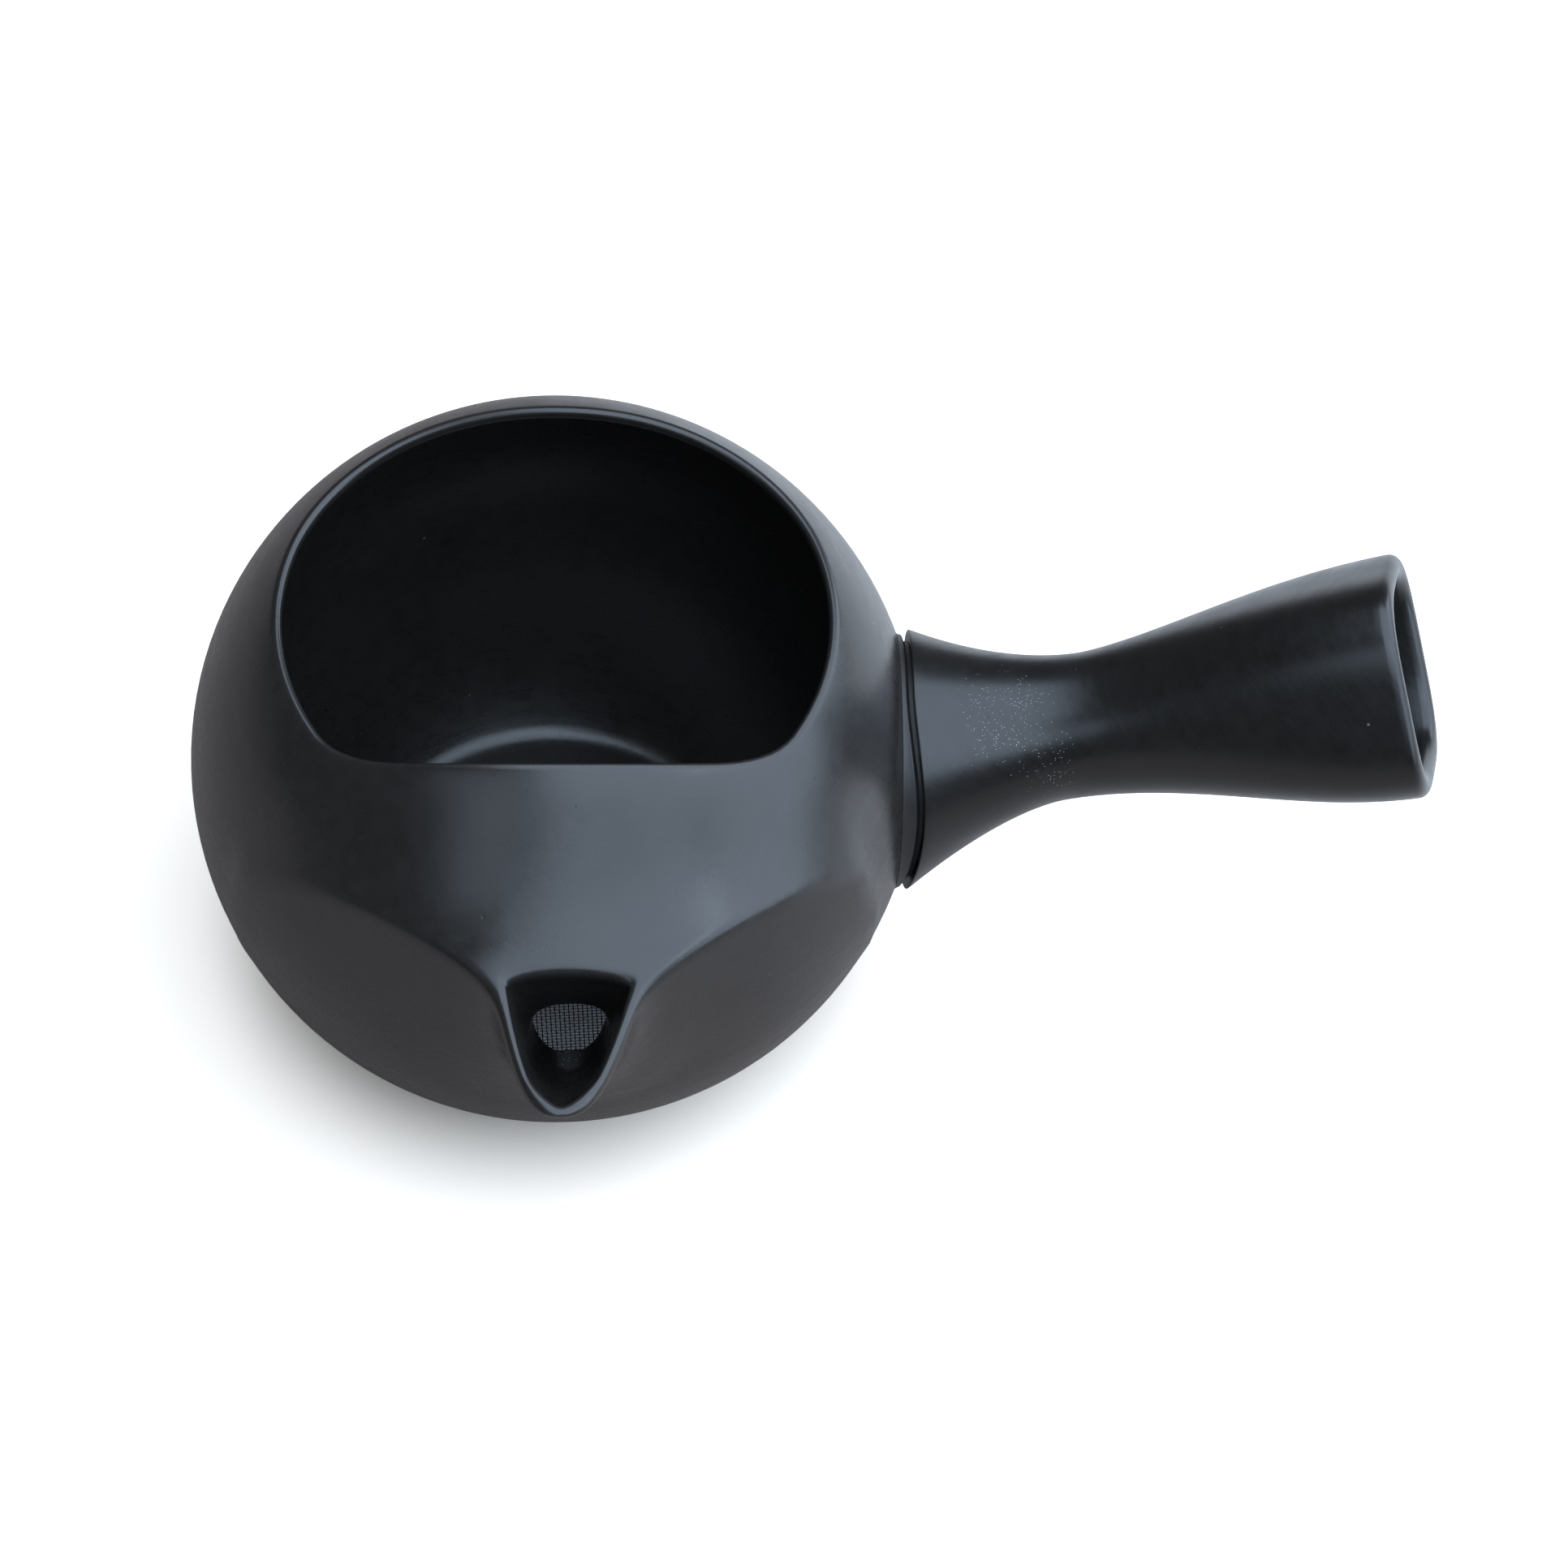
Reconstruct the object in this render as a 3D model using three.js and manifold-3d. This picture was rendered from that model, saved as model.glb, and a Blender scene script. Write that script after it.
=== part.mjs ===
// A lidless kyusu: a ball-shaped Japanese teapot of unglazed black clay with a short beak
// of a spout, a hollow side handle and a steel strainer behind the spout.
// Millimetres, +Z up. The origin is the centre of the foot's underside. The spout points
// along -Y and the handle leaves the ball along +X.

import * as THREE from "three";
import { mergeGeometries, mergeVertices } from "three/addons/utils/BufferGeometryUtils.js";
import Module from "manifold-3d";

const wasm = await Module();
wasm.setup();

// The thrown ball
const BALL_RADIUS = 49;
const BALL_WALL = 3.5;
const RIM_WALL = 2;
const FOOT_RADIUS = 28.3;
const FOOT_EDGE_ROUND = 1.2;
const FLOOR_THICKNESS = 4.6;
const FLOOR_FILLET = 2.2;

// The mouth of the pot: how high its rim runs on the ball, in degrees of latitude, over
// how many degrees the wall thins up to it, and between which azimuths it turns from its
// straight front to its shoulders and its back
const RIM_FRONT_LATITUDE = 53.2;
const RIM_SHOULDER_LATITUDE = 41;
const RIM_BACK_LATITUDE = 52.5;
const RIM_CORNER_BLEND = 6;
const RIM_THINNING = 24;
const RIM_SHOULDER_AZIMUTH = 68;
const RIM_BACK_START_AZIMUTH = 108;

// The spout: half a cone that tapers to a beak, open upwards and blended into the ball.
// It was pulled by hand, so it stands a little to the handle's side.
const SPOUT_LENGTH = 19.5;
const SPOUT_TIP_HEIGHT = 20;
const SPOUT_TIP_SIDE = 0.5;
const SPOUT_ROOT_SIDE = 1.7;
const SPOUT_DECK_SLOPE = 8.8;
const SPOUT_ROOT_HALF_WIDTH = 9.7;
const SPOUT_ROOT_DEPTH = 25;
const SPOUT_WIDTH_TAPER = 0.42;
const SPOUT_DEPTH_TAPER = 0.85;
const SPOUT_ROOT_SINK = 1;
const SPOUT_START_SINK = 23;
const SPOUT_BLEND = 11;
const SPOUT_EDGE_BLEND = 1.6;
const DECK_FLARE_START = 17.5;
const DECK_FLARE_SLOPE = 0.95;
const DECK_FLARE_EASE = 2.5;
const DECK_FLAT = 8;
const DECK_CROWN_RADIUS = 28;

// The channel from the spout's lip down to the strainer hole in the ball's wall
const LIP_BACK_GAP = 0.4;
const LIP_TIP_WALL = 1.9;
const LIP_WALL = 1.4;
const LIP_BACK_ROUND = 1.6;
const LIP_FRONT_ROUND = 4.5;
const LIP_CHAMFER = 0.6;
const HOLE_HALF_WIDTH = 4.6;
const HOLE_HALF_HEIGHT = 6.9;
const HOLE_CENTRE_HEIGHT = 5.55;
const HOLE_TAPER = 0.26;
const HOLE_POWER = 2.4;

// The strainer against the inner wall: a flat wire net in a folded rim
const STRAINER_MARGIN = 2.7;
const STRAINER_RIM_WIDTH = 1.8;
const STRAINER_RIM_THICKNESS = 1.1;
const STRAINER_RIM_FOLD = 0.3;
const NET_PITCH = 1.15;
const NET_WIRE = 0.35;

// The side handle: from its seat on the ball to its open end
const HANDLE_TILT = 19;
const HANDLE_SWING = 1.8;
const HANDLE_BOW = 1.6;
const HANDLE_SEAT_SINK = 1;
const HANDLE_LENGTH = 69.4;
const HANDLE_SEAT_RADIUS = 17.5;
const HANDLE_NECK_RADIUS = 9.6;
const HANDLE_NECK_AT = 23.5;
const HANDLE_END_RADIUS = 15.1;
const HANDLE_WALL = 3.2;
const HANDLE_FLARE_POWER = 1.7;
const HANDLE_SWELL_POWER = 1.7;
const HANDLE_END_SQUARENESS = 1.4;
const HANDLE_RIDGE_ANGLE = 82;

// The bead of slip that lutes the handle to the ball: a collar that squeezed out furthest
// below the front, and a neck under the handle's wall
const COLLAR_HEIGHT = 0.25;
const COLLAR_RISE = 1.25;
const COLLAR_RISE_AT = 25;
const COLLAR_RISE_SPREAD = 62;
const COLLAR_INSET = 0.6;
const COLLAR_WIDTH = 1.1;
const COLLAR_EDGE_ROUND = 0.15;
const LUTING_NECK = 0.7;

const CLEARANCE = 0.3;

// Facets: how finely the surfaces are divided
const SPOUT_AZIMUTH_STEP = 1.5;
const FLANK_AZIMUTH_STEP = 3.5;
const BALL_AZIMUTH_STEP = 6;
const SPOUT_AZIMUTH = 15;
const FLANK_AZIMUTH = 36;
const SPOUT_ROW_MARGIN = 2.5;
const ROWS_BELOW_SPOUT = 15;
const ROWS_OVER_SPOUT = 11;
const ROWS_TO_RIM = 8;
const INNER_ROWS = 14;
const FILLET_ROWS = 3;
const LIP_ROWS = 4;
const FOOT_SHARES = [0.35, 0.7, 1];
const CHANNEL_SIDES = 40;
const CHANNEL_ROWS = 4;
const HANDLE_SIDES = 44;
const HANDLE_ROWS = 14;
const STRAINER_SIDES = 40;

const CLAY = { color: 0x24262a, roughness: 0.5, metalness: 0 };
const STEEL = { color: 0x8d8f92, roughness: 0.3, metalness: 1 };

const { clamp, degToRad, radToDeg, lerp, smoothstep, euclideanModulo } = THREE.MathUtils;
const FOOT_TO_BALL_CENTRE = Math.sqrt(BALL_RADIUS ** 2 - FOOT_RADIUS ** 2);
const INNER_RADIUS = BALL_RADIUS - BALL_WALL;
const SPOUT_TIP_REACH = BALL_RADIUS + SPOUT_LENGTH;
const SPOUT_ROOT_REACH = BALL_RADIUS - SPOUT_ROOT_SINK;
const LIP_BACK_REACH = BALL_RADIUS + LIP_BACK_GAP;
const LIP_FRONT_REACH = SPOUT_TIP_REACH - LIP_TIP_WALL;
const NET_RADIUS = HOLE_HALF_HEIGHT + STRAINER_MARGIN;

// Everything below is worked out from the ball's centre. The outer surface is found along
// rays that start lower down the pot's axis, where they meet the spout's deck less flatly.
const RAY_START = new THREE.Vector3(0, 0, -FOOT_TO_BALL_CENTRE / 2);

// Angles evenly spaced round a full turn.
function turnsRound(count) {
  return Array.from({ length: count }, (_, i) => (2 * Math.PI * i) / count);
}

// A closed surface from rings of points: each ring joins the next, with facets that mirror
// each other on the two halves of the ring, and a ring of one point closes an end.
function skin(rings, closed = false) {
  const positions = [];
  const starts = [];
  for (const ring of rings) {
    starts.push(positions.length / 3);
    for (const p of ring) positions.push(p.x, p.y, p.z);
  }
  const index = [];
  const pairs = closed ? rings.length : rings.length - 1;
  for (let j = 0; j < pairs; j++) {
    const next = (j + 1) % rings.length;
    const [a, b] = [rings[j], rings[next]];
    const [sa, sb] = [starts[j], starts[next]];
    const n = Math.max(a.length, b.length);
    for (let i = 0; i < n; i++) {
      const k = (i + 1) % n;
      if (a.length === 1) index.push(sa, sb + k, sb + i);
      else if (b.length === 1) index.push(sa + i, sa + k, sb);
      else if (2 * i < n) index.push(sa + i, sa + k, sb + k, sa + i, sb + k, sb + i);
      else index.push(sa + i, sa + k, sb + i, sa + k, sb + k, sb + i);
    }
  }
  const geometry = new THREE.BufferGeometry();
  geometry.setAttribute("position", new THREE.Float32BufferAttribute(positions, 3));
  geometry.setIndex(index);
  return geometry;
}

// A geometry with nothing but its positions, so that its shared corners can be merged.
function bare(geometry) {
  geometry.deleteAttribute("normal");
  geometry.deleteAttribute("uv");
  return geometry;
}

// A closed geometry as a solid that can be joined and cut, with its faces pointing out.
function solid(geometry) {
  const merged = mergeVertices(geometry, 1e-4);
  const mesh = new wasm.Mesh({
    numProp: 3,
    vertProperties: new Float32Array(merged.getAttribute("position").array),
    triVerts: new Uint32Array(merged.getIndex().array),
  });
  const made = new wasm.Manifold(mesh);
  if (made.volume() > 0) return made;
  for (let i = 0; i < mesh.triVerts.length; i += 3) {
    [mesh.triVerts[i + 1], mesh.triVerts[i + 2]] = [mesh.triVerts[i + 2], mesh.triVerts[i + 1]];
  }
  return new wasm.Manifold(mesh);
}

// A solid as a named mesh.
function part(name, made, finish) {
  const mesh = made.getMesh();
  const geometry = new THREE.BufferGeometry();
  geometry.setAttribute("position", new THREE.Float32BufferAttribute(mesh.vertProperties, 3));
  geometry.setIndex(new THREE.BufferAttribute(mesh.triVerts, 1));
  geometry.computeVertexNormals();
  const piece = new THREE.Mesh(geometry, new THREE.MeshStandardMaterial(finish));
  piece.name = name;
  return piece;
}

// A point on a ball round the ball's centre. Azimuth 0 faces the spout and 90 the handle.
function onBall(radius, azimuth, latitude) {
  const [a, l] = [degToRad(azimuth), degToRad(latitude)];
  const out = radius * Math.cos(l);
  return new THREE.Vector3(out * Math.sin(a), -out * Math.cos(a), radius * Math.sin(l));
}

function smoothMin(a, b, blend) {
  const h = Math.max(blend - Math.abs(a - b), 0) / blend;
  return Math.min(a, b) - (h * h * blend) / 4;
}

const smoothMax = (a, b, blend) => -smoothMin(-a, -b, blend);

// The share of a span at which a test stops being true, found by halving.
function lastInside(near, far, isInside) {
  let [inside, outside] = [near, far];
  for (let i = 0; i < 30; i++) {
    const middle = (inside + outside) / 2;
    if (isInside(middle)) inside = middle;
    else outside = middle;
  }
  return inside;
}

// Height of the spout's deck above the ball's centre, at a reach from the pot's axis.
function deckHeight(reach) {
  return SPOUT_TIP_HEIGHT + (SPOUT_TIP_REACH - reach) * Math.tan(degToRad(SPOUT_DECK_SLOPE));
}

// How much of the spout lies ahead of a reach: 0 at the tip and 1 at the root.
function spoutShare(reach) {
  return Math.max((SPOUT_TIP_REACH - reach) / (SPOUT_TIP_REACH - SPOUT_ROOT_REACH), 1e-4);
}

function spoutHalfWidth(reach) {
  return SPOUT_ROOT_HALF_WIDTH * spoutShare(reach) ** SPOUT_WIDTH_TAPER;
}

function spoutSide(reach) {
  return lerp(SPOUT_TIP_SIDE, SPOUT_ROOT_SIDE, Math.min(spoutShare(reach), 1));
}

// How much wider than the spout its deck is, where it opens out onto the ball.
function deckFlare(reach) {
  const past = SPOUT_TIP_REACH - DECK_FLARE_START - reach;
  return (DECK_FLARE_SLOPE * (past + Math.hypot(past, DECK_FLARE_EASE))) / 2;
}

// How far a point is outside an ellipse about the origin.
function outsideEllipse(x, y, halfWidth, halfHeight) {
  const share = Math.hypot(x / halfWidth, y / halfHeight);
  const slope = Math.hypot(x / halfWidth ** 2, y / halfHeight ** 2);
  return (share * (share - 1)) / Math.max(slope, 1e-6);
}

// How far a point is outside the spout: half an elliptic cone below its deck, which
// falls away to both sides of its flat middle.
function outsideSpout(p) {
  const reach = -p.y;
  const side = p.x - spoutSide(reach);
  const halfWidth = spoutHalfWidth(reach) + deckFlare(reach);
  const depth = SPOUT_ROOT_DEPTH * Math.min(spoutShare(reach), 1) ** SPOUT_DEPTH_TAPER;
  const fall = Math.max(Math.abs(side) - DECK_FLAT, 0) ** 2 / (2 * DECK_CROWN_RADIUS);
  const above = p.z - deckHeight(reach) + fall;
  const round = outsideEllipse(side, Math.min(above, 0), halfWidth, depth);
  const behind = BALL_RADIUS - SPOUT_START_SINK - reach;
  return Math.max(smoothMax(round, above, SPOUT_EDGE_BLEND), behind, reach - SPOUT_TIP_REACH);
}

function outsidePot(p) {
  return smoothMin(p.length() - BALL_RADIUS, outsideSpout(p), SPOUT_BLEND);
}

// The point where a ray leaves the pot's outer surface.
function outerPoint(azimuth, elevation) {
  const ray = (length) => onBall(length, azimuth, elevation).add(RAY_START);
  return ray(lastInside(1, 2 * SPOUT_TIP_REACH, (length) => outsidePot(ray(length)) < 0));
}

// The elevation of the ray that goes to a point.
function rayElevation(p) {
  return radToDeg(Math.atan2(p.z - RAY_START.z, Math.hypot(p.x, p.y)));
}

// The rim's latitude all round the mouth: straight across the front, low at the
// shoulders, and up again at the back.
function rimLatitude(azimuth) {
  const a = Math.abs(euclideanModulo(azimuth + 180, 360) - 180);
  const front = radToDeg(Math.atan(Math.tan(degToRad(RIM_FRONT_LATITUDE)) * Math.cos(degToRad(a))));
  const low = smoothMax(Math.max(front, 0), RIM_SHOULDER_LATITUDE, RIM_CORNER_BLEND);
  const rise = smoothstep(a, RIM_BACK_START_AZIMUTH, 180);
  const shoulder = a < RIM_SHOULDER_AZIMUTH ? low : Math.max(low, RIM_SHOULDER_LATITUDE);
  return shoulder + (RIM_BACK_LATITUDE - RIM_SHOULDER_LATITUDE) * rise;
}

// Azimuths round the pot, closer together over the spout.
function azimuths() {
  const list = [];
  for (let a = 0; a < SPOUT_AZIMUTH; a += SPOUT_AZIMUTH_STEP) list.push(a);
  for (let a = SPOUT_AZIMUTH; a < FLANK_AZIMUTH; a += FLANK_AZIMUTH_STEP) list.push(a);
  for (let a = FLANK_AZIMUTH; a <= 180; a += BALL_AZIMUTH_STEP) list.push(a);
  const otherSide = list.filter((a) => a > 0 && a < 180).map((a) => 360 - a);
  return [...list, ...otherSide.reverse()];
}

// Elevations of one meridian's rays from the foot to the rim, closest over the spout.
function elevations(foot, rim) {
  const tip = new THREE.Vector3(0, -SPOUT_TIP_REACH, SPOUT_TIP_HEIGHT);
  const lipBack = new THREE.Vector3(0, -LIP_BACK_REACH, deckHeight(LIP_BACK_REACH));
  const [start, end] = [rayElevation(tip) - SPOUT_ROW_MARGIN, rayElevation(lipBack) + SPOUT_ROW_MARGIN];
  const stops = [foot, start, end, rim];
  const rows = [ROWS_BELOW_SPOUT, ROWS_OVER_SPOUT, ROWS_TO_RIM];
  const between = (i, k) => lerp(stops[i], stops[i + 1], k / rows[i]);
  const list = rows.flatMap((count, i) => Array.from({ length: count }, (_, k) => between(i, k)));
  return [...list, rim];
}

// One meridian of the pot, from the middle of the foot up over the rim and down inside
// to the middle of the floor.
function meridian(azimuth) {
  const level = (radius, z) => onBall(radius, azimuth, 0).setZ(z);
  const latitudeOn = (radius, z) => radToDeg(Math.asin(z / radius));
  const rayTo = (latitude) => rayElevation(onBall(BALL_RADIUS, azimuth, latitude));
  const footZ = -FOOT_TO_BALL_CENTRE;
  const rim = rimLatitude(azimuth);
  const rays = elevations(rayTo(latitudeOn(BALL_RADIUS, footZ + FOOT_EDGE_ROUND / 2)), rayTo(rim));
  const foot = FOOT_SHARES.map((share) => level((FOOT_RADIUS - FOOT_EDGE_ROUND) * share, footZ));
  const outer = rays.map((elevation) => outerPoint(azimuth, elevation));

  const wall = (latitude) => lerp(RIM_WALL, BALL_WALL, smoothstep(rim - latitude, 0, RIM_THINNING));
  const innerPoint = (latitude) => onBall(BALL_RADIUS - wall(latitude), azimuth, latitude);
  const outerEdge = outer[outer.length - 1];
  const innerEdge = innerPoint(rim);
  const middle = outerEdge.clone().lerp(innerEdge, 0.5);
  const half = outerEdge.clone().sub(middle);
  const up = onBall(half.length(), azimuth, rim + 90);
  const lip = [];
  for (let k = 1; k < LIP_ROWS; k++) {
    const turn = (Math.PI * k) / LIP_ROWS;
    lip.push(middle.clone().addScaledVector(half, Math.cos(turn)).addScaledVector(up, Math.sin(turn)));
  }

  const floorZ = footZ + FLOOR_THICKNESS;
  const filletZ = floorZ + FLOOR_FILLET;
  const filletOut = Math.sqrt((INNER_RADIUS - FLOOR_FILLET) ** 2 - filletZ ** 2);
  const filletTop = Math.atan2(filletZ, filletOut);
  const inner = [];
  for (let k = 0; k <= INNER_ROWS; k++) {
    inner.push(innerPoint(lerp(rim, radToDeg(filletTop), k / INNER_ROWS)));
  }
  const fillet = [];
  for (let k = 1; k < FILLET_ROWS; k++) {
    const turn = lerp(filletTop, -Math.PI / 2, k / FILLET_ROWS);
    const [out, z] = [FLOOR_FILLET * Math.cos(turn), FLOOR_FILLET * Math.sin(turn)];
    fillet.push(level(filletOut + out, filletZ + z));
  }
  const floor = FOOT_SHARES.map((share) => level(filletOut * share, floorZ)).reverse();
  return [...foot, ...outer, ...lip, ...inner, ...fillet, ...floor];
}

function ballShell() {
  const columns = azimuths().map(meridian);
  const rings = columns[0].map((_, row) => columns.map((column) => column[row]));
  const foot = [new THREE.Vector3(0, 0, -FOOT_TO_BALL_CENTRE)];
  const floor = [new THREE.Vector3(0, 0, FLOOR_THICKNESS - FOOT_TO_BALL_CENTRE)];
  return solid(skin([foot, ...rings, floor]));
}

// 1 away from an end, falling to 0 at it along a quarter circle.
function roundOff(distance, radius) {
  const share = clamp(1 - distance / radius, 0, 1);
  return Math.sqrt(1 - share * share);
}

// The spout's opening seen from above, grown outwards and raised over the clay: it
// follows the spout's sides, with a straight back and a round tip.
function lipPoint(turn, grow, raise) {
  const half = (LIP_FRONT_REACH - LIP_BACK_REACH) / 2 + grow;
  const reach = (LIP_FRONT_REACH + LIP_BACK_REACH) / 2 + half * Math.cos(turn);
  const back = roundOff(half * (1 + Math.cos(turn)), LIP_BACK_ROUND);
  const front = roundOff(half * (1 - Math.cos(turn)), LIP_FRONT_ROUND);
  const side = (spoutHalfWidth(reach) - LIP_WALL + grow) * back * front * Math.sign(Math.sin(turn));
  const deck = deckHeight(reach);
  const at = (height) => new THREE.Vector3(spoutSide(reach) + side, -reach, height);
  return at(lastInside(deck - SPOUT_BLEND / 2, deck + SPOUT_BLEND, (z) => outsidePot(at(z)) < 0) + raise);
}

// The hole through the ball's wall behind the strainer, on a ball of a given radius: a
// soft square, narrower near its foot.
function holePoint(turn, radius) {
  const [across, down] = [Math.sin(turn), Math.cos(turn)];
  const out = (Math.abs(across) ** HOLE_POWER + Math.abs(down) ** HOLE_POWER) ** (-1 / HOLE_POWER);
  const x = SPOUT_ROOT_SIDE + HOLE_HALF_WIDTH * across * out * (1 - HOLE_TAPER * down * out);
  const z = HOLE_CENTRE_HEIGHT - HOLE_HALF_HEIGHT * down * out;
  return new THREE.Vector3(x, -Math.sqrt(radius ** 2 - x * x - z * z), z);
}

// The middle of a ring of points, as a ring of one point.
function middleOf(ring) {
  return [ring.reduce((sum, p) => sum.add(p), new THREE.Vector3()).divideScalar(ring.length)];
}

// The space inside the spout, from above its lip to inside the ball.
function spoutChannel() {
  const turns = turnsRound(CHANNEL_SIDES);
  const lipRing = (grow, raise) => turns.map((turn) => lipPoint(turn, grow, raise));
  const holeRing = (radius) => turns.map((turn) => holePoint(turn, radius));
  const throat = lipRing(0, -LIP_CHAMFER);
  const hole = holeRing(BALL_RADIUS - SPOUT_ROOT_SINK);
  const shares = Array.from({ length: CHANNEL_ROWS - 1 }, (_, k) => (k + 1) / CHANNEL_ROWS);
  const lofted = shares.map((share) => throat.map((p, i) => p.clone().lerp(hole[i], share)));
  const rings = [
    lipRing(LIP_CHAMFER, 3 * LIP_CHAMFER),
    lipRing(LIP_CHAMFER, 0),
    throat,
    ...lofted,
    hole,
    holeRing(INNER_RADIUS - BALL_WALL),
  ];
  return solid(skin([middleOf(rings[0]), ...rings, middleOf(rings[rings.length - 1])]));
}

// The handle's frame: its seat on the ball, its axis, and the two directions across it.
function handleFrame() {
  const [tilt, swing] = [degToRad(HANDLE_TILT), degToRad(-HANDLE_SWING)];
  const level = new THREE.Vector3(Math.cos(swing), Math.sin(swing), 0);
  const upright = new THREE.Vector3(0, 0, 1);
  const axis = level.clone().multiplyScalar(Math.cos(tilt)).addScaledVector(upright, Math.sin(tilt));
  const top = upright.multiplyScalar(Math.cos(tilt)).addScaledVector(level, -Math.sin(tilt));
  const forward = new THREE.Vector3().crossVectors(top, axis).negate();
  const seat = new THREE.Vector3(BALL_RADIUS - HANDLE_SEAT_SINK, 0, 0);
  return { seat, axis, forward, top };
}

// A point beside the handle's axis.
function besideAxis(frame, along, turn, out) {
  return frame.seat
    .clone()
    .addScaledVector(frame.axis, along)
    .addScaledVector(frame.forward, out * Math.cos(turn))
    .addScaledVector(frame.top, out * Math.sin(turn));
}

// How far along the handle a line beside its axis comes out of a ball of a given radius.
function leavesBall(frame, turn, out, ballRadius) {
  const start = besideAxis(frame, 0, turn, out);
  const b = start.dot(frame.axis);
  return -b + Math.sqrt(b * b - start.lengthSq() + ballRadius ** 2);
}

// The height over the ball of the luting bead's collar.
function collarHeight(turn) {
  const degrees = euclideanModulo(radToDeg(turn) - COLLAR_RISE_AT + 180, 360) - 180;
  const away = Math.min(Math.abs(degrees) / COLLAR_RISE_SPREAD, 1);
  return COLLAR_HEIGHT + COLLAR_RISE * Math.cos((away * Math.PI) / 2) ** 2;
}

// The height over the ball of the whole luting bead.
function lutingHeight(turn) {
  return collarHeight(turn) + LUTING_NECK;
}

// A point on the handle past its seat: it is flared at the seat, narrow at the neck and
// swells to the end, where its section turns from round to a soft square with a ridge on
// top. Between its ends it is bowed a little upward. The past and the whole are lengths
// from the seat.
function handlePoint(frame, turn, past, whole, inset) {
  const flare = Math.max(1 - past / HANDLE_NECK_AT, 0) ** HANDLE_FLARE_POWER;
  const share = clamp((past - HANDLE_NECK_AT) / (whole - HANDLE_NECK_AT), 0, 1);
  const swell = Math.sin((share * Math.PI) / 2) ** HANDLE_SWELL_POWER;
  const radius =
    HANDLE_NECK_RADIUS +
    (HANDLE_SEAT_RADIUS - HANDLE_NECK_RADIUS) * flare +
    (HANDLE_END_RADIUS - HANDLE_NECK_RADIUS) * swell;
  const power = 2 + HANDLE_END_SQUARENESS * smoothstep(past, HANDLE_NECK_AT, whole);
  const fromRidge = turn - degToRad(HANDLE_RIDGE_ANGLE) + Math.PI / 4;
  const norm = Math.abs(Math.cos(fromRidge)) ** power + Math.abs(Math.sin(fromRidge)) ** power;
  const out = (radius - inset) * norm ** (-1 / power);
  const bow = HANDLE_BOW * Math.sin((Math.PI * past) / whole) ** 2;
  return besideAxis(frame, HANDLE_LENGTH - whole + past, turn, out).addScaledVector(frame.top, bow);
}

function handleShell() {
  const frame = handleFrame();
  const turns = turnsRound(HANDLE_SIDES);
  const lipRound = HANDLE_WALL / 2;
  const whole = (turn, inset) => {
    const seatBall = BALL_RADIUS + CLEARANCE + lutingHeight(turn) + CLEARANCE;
    return HANDLE_LENGTH - leavesBall(frame, turn, HANDLE_SEAT_RADIUS - inset, seatBall);
  };
  const ring = (share, inset) =>
    turns.map((turn) => {
      const length = whole(turn, inset);
      return handlePoint(frame, turn, (length - lipRound) * share, length, inset);
    });
  const lipRing = (bend) =>
    turns.map((turn) => {
      const length = whole(turn, 0);
      const inset = lipRound * (1 - Math.cos(bend));
      return handlePoint(frame, turn, length - lipRound * (1 - Math.sin(bend)), length, inset);
    });
  const shares = Array.from({ length: HANDLE_ROWS + 1 }, (_, k) => k / HANDLE_ROWS);
  const outer = shares.map((share) => ring(share, 0));
  const inner = shares.map((share) => ring(share, HANDLE_WALL)).reverse();
  const bends = Array.from({ length: LIP_ROWS - 1 }, (_, k) => (Math.PI * (k + 1)) / LIP_ROWS);
  return solid(skin([...outer, ...bends.map(lipRing), ...inner], true));
}

// The luting bead follows the ball under the handle's foot: a wide collar on the ball,
// and on it a neck of even height that carries the handle's wall.
function lutingRing() {
  const frame = handleFrame();
  const ring = (out, height) =>
    turnsRound(HANDLE_SIDES).map((turn) => {
      const along = leavesBall(frame, turn, out, BALL_RADIUS + CLEARANCE + height(turn));
      return besideAxis(frame, along, turn, out);
    });
  const flat = () => 0;
  const outer = HANDLE_SEAT_RADIUS - COLLAR_INSET;
  const neck = outer - COLLAR_WIDTH;
  const inner = HANDLE_SEAT_RADIUS - HANDLE_WALL;
  const rings = [
    ring(inner, flat),
    ring(inner, lutingHeight),
    ring(neck, lutingHeight),
    ring(neck, collarHeight),
    ring(outer - COLLAR_EDGE_ROUND, collarHeight),
    ring(outer, (turn) => collarHeight(turn) - COLLAR_EDGE_ROUND),
    ring(outer, flat),
  ];
  return solid(skin(rings, true));
}

// The strainer's rim: strip folded over the edge of the net, in a ring whose outer back
// edge touches the inner wall. Its middle plane is at height 0 and the wall is below it.
function strainerRim() {
  const [inside, outside] = [NET_RADIUS + CLEARANCE, NET_RADIUS + STRAINER_RIM_WIDTH];
  const half = STRAINER_RIM_THICKNESS / 2;
  const fold = STRAINER_RIM_FOLD;
  const section = [
    [inside, -half],
    [outside - fold, -half],
    [outside, fold - half],
    [outside, half - fold],
    [outside - fold, half],
    [inside, half],
    [inside, -half],
  ];
  const points = section.map(([radius, height]) => new THREE.Vector2(radius, height));
  return solid(bare(new THREE.LatheGeometry(points, STRAINER_SIDES)));
}

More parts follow.
